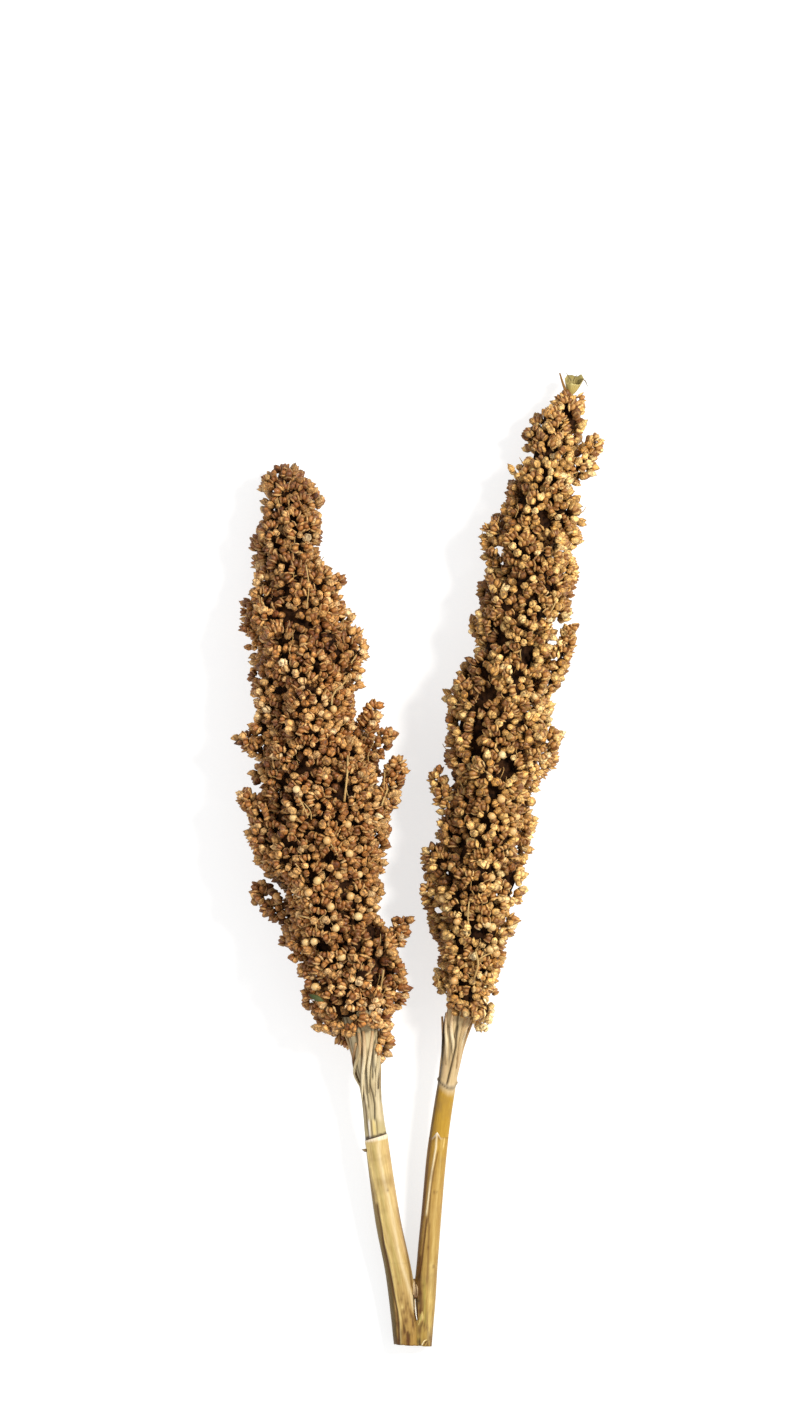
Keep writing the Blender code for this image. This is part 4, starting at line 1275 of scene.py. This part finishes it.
def neckPiece(side):
    # the stem over the sheath, with the lowest branches lying along it as cords
    first, last = 98, 168
    start = 108 if side == "left" else 131
    count = stem["cords"][side]
    draw = random.Random(9)
    turns = [radians(draw.uniform(-9, 9)) for _ in range(count)]
    ringRows = ((12.5, 132.6), (14.7, 130.4), (17.6, 128.2), (20.2, 128.2), (21.6, 130.4))

    def shapeAt(station, angle):
        y, inset = station
        radius = stemRadius(side, y)
        if side == "left":
            radius -= 0.25
        deep = clamp((y - start) / 14)
        nearest = min(
            abs((angle - 2 * pi * k / count - turns[k] - 0.10 * sin(y / 5 + 2 * k) + pi) % (2 * pi) - pi)
            for k in range(count)
        )
        facing = max(clamp(0.25 - sin(angle) * 1.5), clamp((y - start - 12) / 14))
        groove = exp(-(nearest * radius / 0.45) ** 2) * deep * (0.3 + 0.7 * facing)
        radius -= groove * stem["cordDepth"]
        if side == "left":
            colour = mixed("leftNeck", "green", 0.35 * clamp(1 - abs(y - 108) / 7))
            colour = mixed(colour, "grey", 0.35 * clamp((-cos(angle) - 0.75) / 0.2))
            # dark where the neck goes into the sheath: a dark ring with painted shade of the recess
            inSheath = clamp((105.1 + 1.35 * cos(angle) - y) / 0.5)
            colour = mixed(colour, "dark", 0.9 * inSheath)
        else:
            middle = smoothAt(stemAxis[side], y * mm)[0] / mm
            across = middle + radius * cos(angle)
            above = y - between(ringRows, across)
            colour = mixed("rightNeck", "amber", clamp((-above - 1.5) / 3.5))
            leftward = clamp((-cos(angle) - 0.25) / 0.55)
            colour = mixed(colour, "brown", 0.3 * leftward * clamp(-above / 4))
            onRing = exp(-((above - 0.3) / 0.9) ** 2)
            radius += 0.8 * onRing
            colour = mixed(colour, "grey", 0.75 * onRing * (1 if above > 0 else 0.6))
            colour = mixed(colour, "dark", 0.7 * exp(-((above + 0.45) / 0.32) ** 2))
        # painted shade in the grooves between the cords
        colour = mixed(colour, "dark", 0.85 * groove)
        return *dressedPoint(side, side + "Neck", y, angle, colour, radius, inset), y * mm

    bm = newShell()
    stations = [(y, 1.0) for y in steps(first, last, stem["step"] * 0.8)]
    stations = [(first, 0.6)] + stations + [(last + 3, 0.5)]
    loft(bm, stations, stem["columns"], shapeAt)
    return bm


# strands on the stalk in millimetres: (x, distance) path, radii, colours, lift or heights, flatness
stalkStrands = (
    (((0.6, 32.0), (0.9, 27.5), (1.3, 22.5)), (0.6, 1.9, 1.1), ("husk", "husk", "brown"),
     (8.0, 11.6, 12.2), 0.5),
    (((0.1, 31), (0.3, 28), (0.4, 24)), (0.2, 0.28, 0.2), ("cream", "tan"), (9.4, 12.7, 13.0)),
    (((1.1, 31), (1.6, 28), (1.7, 24)), (0.15, 0.2, 0.2), ("brown", "brown"), (9.4, 12.6, 12.9)),
    (((-0.5, 31.5), (-0.6, 28), (-0.2, 24)), (0.15, 0.2, 0.2), ("brown", "brown"), (9.2, 12.3, 12.8)),
    (((1.0, 23.4), (1.2, 17), (2.0, 11.5)), (0.35, 0.5, 0.2), ("white", "white"), 0.15, 0.7),
    (((0.2, 24), (0.5, 17), (1.5, 11.2)), (0.3, 0.34, 0.22), ("dark", "brown"), 0.1),
    (((2.0, 23.4), (2.2, 17), (2.6, 11.5)), (0.34, 0.34, 0.22), ("dark", "brown"), 0.1),
    (((4.4, -1.2), (5.6, 0.9), (7.7, 2.1)), (0.3, 0.35, 0.1), ("cream", "yellow"), 0.1),
    (((5.4, -1.2), (6.5, 0.3), (7.6, 1.2)), (0.2, 0.25, 0.1), ("brown", "dark"), 0.15),
    (((3.6, 10.5), (4.4, 13), (4.7, 16)), (0.15, 0.5, 0.1), ("green", "yellow"), -0.1, 0.5),
    (((2.6, 8.5), (3.4, 11), (4.1, 14.5)), (0.1, 0.4, 0.1), ("yellow", "green"), -0.05, 0.5),
)

# lowest branches that leave the necks: (x, distance) path, radii, colours
neckBranches = {
    "left": (
        (((-26.6, 129), (-29.2, 135), (-28.6, 141), (-26.6, 147), (-27.2, 156)),
         (0.3, 0.75, 0.8, 0.8, 0.6), ("cream", "leftNeck", "tan")),
        (((-26.8, 131), (-29, 138), (-29.6, 144), (-28.4, 151)), (0.3, 0.9, 1, 0.7),
         ("olive", "brown", "tan")),
        (((-25.4, 122), (-25.2, 134), (-24.2, 145), (-24.8, 157)), (0.2, 0.8, 0.9, 0.7),
         ("cream", "cream", "tan")),
        (((-22.2, 126), (-22.3, 138), (-21.2, 147), (-20.2, 157)), (0.2, 0.8, 0.85, 0.7),
         ("leftNeck", "cream", "tan")),
        (((-18.6, 124), (-17.9, 138), (-17, 147), (-16.6, 157)), (0.2, 0.85, 0.85, 0.7),
         ("cream", "leftNeck", "tan")),
        (((-17.2, 128), (-17, 139), (-16.4, 147), (-15.4, 156)), (0.2, 0.5, 0.6, 0.5),
         ("grey", "cream", "tan")),
    ),
    "right": (
        (((14.6, 140), (15, 148), (15.8, 158), (16.8, 166)), (0.3, 0.8, 0.9, 0.6),
         ("grey", "dark", "brown")),
        (((16.6, 140), (16.9, 149), (16.6, 158), (17, 166)), (0.2, 0.8, 0.9, 0.7),
         ("rightNeck", "cream", "tan")),
        (((19.8, 144), (20, 151), (19.2, 158), (20, 166)), (0.2, 0.8, 0.9, 0.7),
         ("rightNeck", "cream", "tan")),
        (((22, 138), (23.2, 148), (24.6, 156), (27, 164)), (0.2, 0.8, 0.9, 0.7),
         ("tan", "rightNeck", "tan")),
        (((24, 149), (26, 156), (29.4, 163)), (0.3, 0.6, 0.5), ("cream", "tan")),
    ),
}


def layStrand(bm, topAt, path, radii, colours, lift=0.0, flat=1.0):
    # lift is one height above the skin, or a height for each point
    if isinstance(lift, float):
        heights = [topAt(x * mm, y * mm) + lift * mm for x, y in path]
    else:
        heights = [height * mm for height in lift]
    points = [Vector((x * mm, y * mm, z)) for (x, y), z in zip(path, heights)]
    strand(bm, points, [r * mm for r in radii], [straws[c] for c in colours], 12, 8, flat)


def neckTop(side):
    # skin height over a neck, widened so that branches may stand off it
    def topAt(x, y):
        middle, height, radius = stemAt(side, y)
        return height + sqrt(max(0.0, radius**2 - min(abs(x - middle), radius) ** 2)) + 0.0001
    return topAt


def backBranches(bm, side, seed):
    # branches round the far sides of a neck
    draw = random.Random(seed)
    count = stem["backBranches"]
    for k in range(count):
        angle = radians(200 + 140 * k / (count - 1) + draw.uniform(-6, 6))
        points = []
        for y, spread in ((0.126, 0.92), (0.140, 1.0), (0.150, 1.06), (0.164, 1.35)):
            middle, height, radius = stemAt(side, y)
            radius *= spread
            z = max(height + radius * sin(angle), 0.001)
            points.append(Vector((middle + radius * cos(angle), y, z)))
        strand(bm, points, (0.0002, 0.0008, 0.0009, 0.0006), (straws[side + "Neck"], straws["tan"]))


# papery cup at the end of the right stem, in millimetres
tornCup = {
    "centre": ((475.2, 79.2), (479, 80), (484, 81)),
    "height": 16.3,
    "outside": ((475.2, 0.6), (476, 1.5), (477.5, 2.6), (479.5, 3.6), (481.5, 4.4), (483, 4.9)),
    "inside": ((483, 4.7), (481.5, 4.1), (479.5, 3.2), (477.5, 2.2), (476.6, 1)),
    "strands": (
        (((78, 466, 14), (78.8, 471, 15.5), (79.3, 477, 16.3)), (1.6, 1.4, 1.2), "torn"),
        (((76.6, 477, 18), (74.8, 482, 18.5), (73.5, 486.4, 18.5)), (0.85, 0.6, 0.45), "splinter"),
        (((79.4, 482.5, 19), (78, 484.4, 19.5), (76.7, 486.4, 20)), (0.3, 0.25, 0.12), "hair"),
        (((80.4, 482.5, 19), (81.4, 484.4, 19.5), (82.4, 485.6, 20)), (0.3, 0.25, 0.12), "hair"),
        (((84.6, 483.4, 18), (86.3, 482.4, 18), (87.6, 479.4, 17.5)), (0.15, 0.35, 0.1), "hook"),
    ),
}


def tornTip(bm):
    def shapeAt(station, angle):
        y, radius, inner = station
        x = between(tornCup["centre"], y)
        lobe = 1.7 * abs(sin(2.5 * angle + 0.5)) + 0.4 * sin(7 * angle)
        lobe += 1.3 * max(0.0, -sin(angle)) - 3.6 * max(0.0, sin(angle))
        y += lobe * clamp((y - 479) / 4)
        z = tornCup["height"] + radius * 0.72 * sin(angle)
        point = Vector((x + radius * cos(angle), y, z)) * mm
        pale = mixed(tone(190, 170, 100), tone(206, 194, 132), clamp((y - 478) / 6))
        pale = mixed(pale, tone(120, 106, 48), 0.5 * clamp(sin(3 * angle + 1)))
        return point, mixed(pale, tone(146, 130, 72), 0.7 if inner else 0.0), y * mm

    stations = [(*row, False) for row in tornCup["outside"]] + [(*row, True) for row in tornCup["inside"]]
    loft(bm, stations, 28, shapeAt)
    for path, radii, colour in tornCup["strands"]:
        strand(bm, [Vector(p) * mm for p in path], [r * mm for r in radii], [straws[colour]], 8, 5)


spurPath = ((-23.2, 96.8, 18.5), (-24.2, 97.0, 18.8), (-25.6, 97.4, 18.9))


def makeStalk():
    extras, cup, spur = newShell(), newShell(), newShell()
    for row in stalkStrands:
        layStrand(extras, stemTop, *row)
    for side in ("left", "right"):
        for row in neckBranches[side]:
            layStrand(extras, neckTop(side), *row)
        backBranches(extras, side, 21)
    tornTip(cup)
    spurColours = (tone(120, 96, 60), tone(150, 130, 100))
    strand(spur, [Vector(p) * mm for p in spurPath], (0.0008, 0.0008, 0.0001), spurColours, 7, 8)
    for name, shell, look, slot, node in (
        ("leftBase", stalkBase("left", 3), strawLook, "straw", "culm"),
        ("rightBase", stalkBase("right", 4), strawLook, "straw", "culm"),
        ("leftNeck", neckPiece("left"), neckLook, "straw", "culm"),
        ("rightNeck", neckPiece("right"), neckLook, "straw", "culm"),
        ("stalkStrands", extras, strawLook, "straw", "culm"),
        ("tornTip", cup, strawLook, "straw", "culm"),
        ("leftSheath", sheathPiece("left"), strawLook, "sheath", "sheath_left"),
        ("leftSpur", spur, strawLook, "sheath", "sheath_left"),
        ("rightSheath", sheathPiece("right"), strawLook, "golden_sheath", "sheath_right"),
    ):
        finishPiece(name, shell, [look], node)


strawLook = strawMaterial("strawFibre", (0.93, 0.93, 0.94), (0.72, 0.65, 0.52))
neckLook = strawMaterial("neckFibre", (0.92, 0.92, 0.94), (0.80, 0.76, 0.70), 24.0)
makeStalk()
makeBristles("left", 5)
makeBristles("right", 6)
leaf = newShell()
strand(leaf, [Vector(p) * mm for p in ((-52, 175.5, 43.0), (-48.5, 174, 44.2), (-44.6, 172.2, 44.0))],
       (0.0003, 0.0013, 0.0015, 0.0003), (tone(58, 70, 34), tone(84, 92, 50)), 8, 8, 0.2)
finishPiece("leftLeafFlake", leaf, [strawLook], "head_left")
print("stalk and branchlets made")

# floor, light and camera

stage = {
    "floorSize": 6.0,
    "floorDrop": 0.0003,
    "floorColour": (0.45, 0.45, 0.45),
    "cameraOver": (-0.0105, 0.0735),
    "cameraHeight": 6.0,
    "headHeight": 0.030,
    "photoLength": 0.711,
    "world": 0.56,
    "floorGlow": 0.68,
    "lamps": {              # place, aim, size, power, colour
        "key": ((0.95, 0.45, 1.35), (0, 0.05, 0.02), 0.40, 33.5, (1.0, 0.98, 0.94)),
        "fill": ((-1.1, -0.3, 1.2), (0, 0.05, 0.02), 1.2, 6, (0.95, 0.97, 1.0)),
    },
}


def makeStage():
    # a floor that glows a little, as a lightbox does
    bm = bmesh.new()
    bmesh.ops.create_grid(bm, x_segments=1, y_segments=1, size=stage["floorSize"] / 2)
    bmesh.ops.translate(bm, vec=(0, 0, -stage["floorDrop"]), verts=bm.verts)
    floor = addObject("floor", toMesh(bm, "floor"))
    made, _, shader = newMaterial("paleFloor", 0.9)
    shader.inputs["Base Color"].default_value = (*stage["floorColour"], 1)
    shader.inputs["Emission Color"].default_value = (1, 1, 1, 1)
    shader.inputs["Emission Strength"].default_value = stage["floorGlow"]
    floor.data.materials.append(made)


def addAreaLight(name, place, aim, size, power, colour):
    data = bpy.data.lights.new(name, "AREA")
    data.shape = "DISK"
    data.size = size
    data.energy = power
    data.color = colour
    lamp = addObject(name, data)
    lamp.location = place
    lamp.rotation_euler = (Vector(aim) - Vector(place)).to_track_quat("-Z", "Y").to_euler()


def makeCamera():
    data = bpy.data.cameras.new("camera")
    data.sensor_width = 36.0
    data.lens = data.sensor_width * (stage["cameraHeight"] - stage["headHeight"]) / stage["photoLength"]
    camera = addObject("camera", data)
    camera.location = (*stage["cameraOver"], stage["cameraHeight"])
    bpy.context.scene.camera = camera


makeStage()
for name, lamp in stage["lamps"].items():
    addAreaLight(name, *lamp)
world = bpy.data.worlds.new("studio")
world.use_nodes = True
world.node_tree.nodes["Background"].inputs["Color"].default_value = (1, 1, 1, 1)
world.node_tree.nodes["Background"].inputs["Strength"].default_value = stage["world"]
bpy.context.scene.world = world
bpy.context.scene.view_settings.view_transform = "Standard"
makeCamera()

print("stage made")
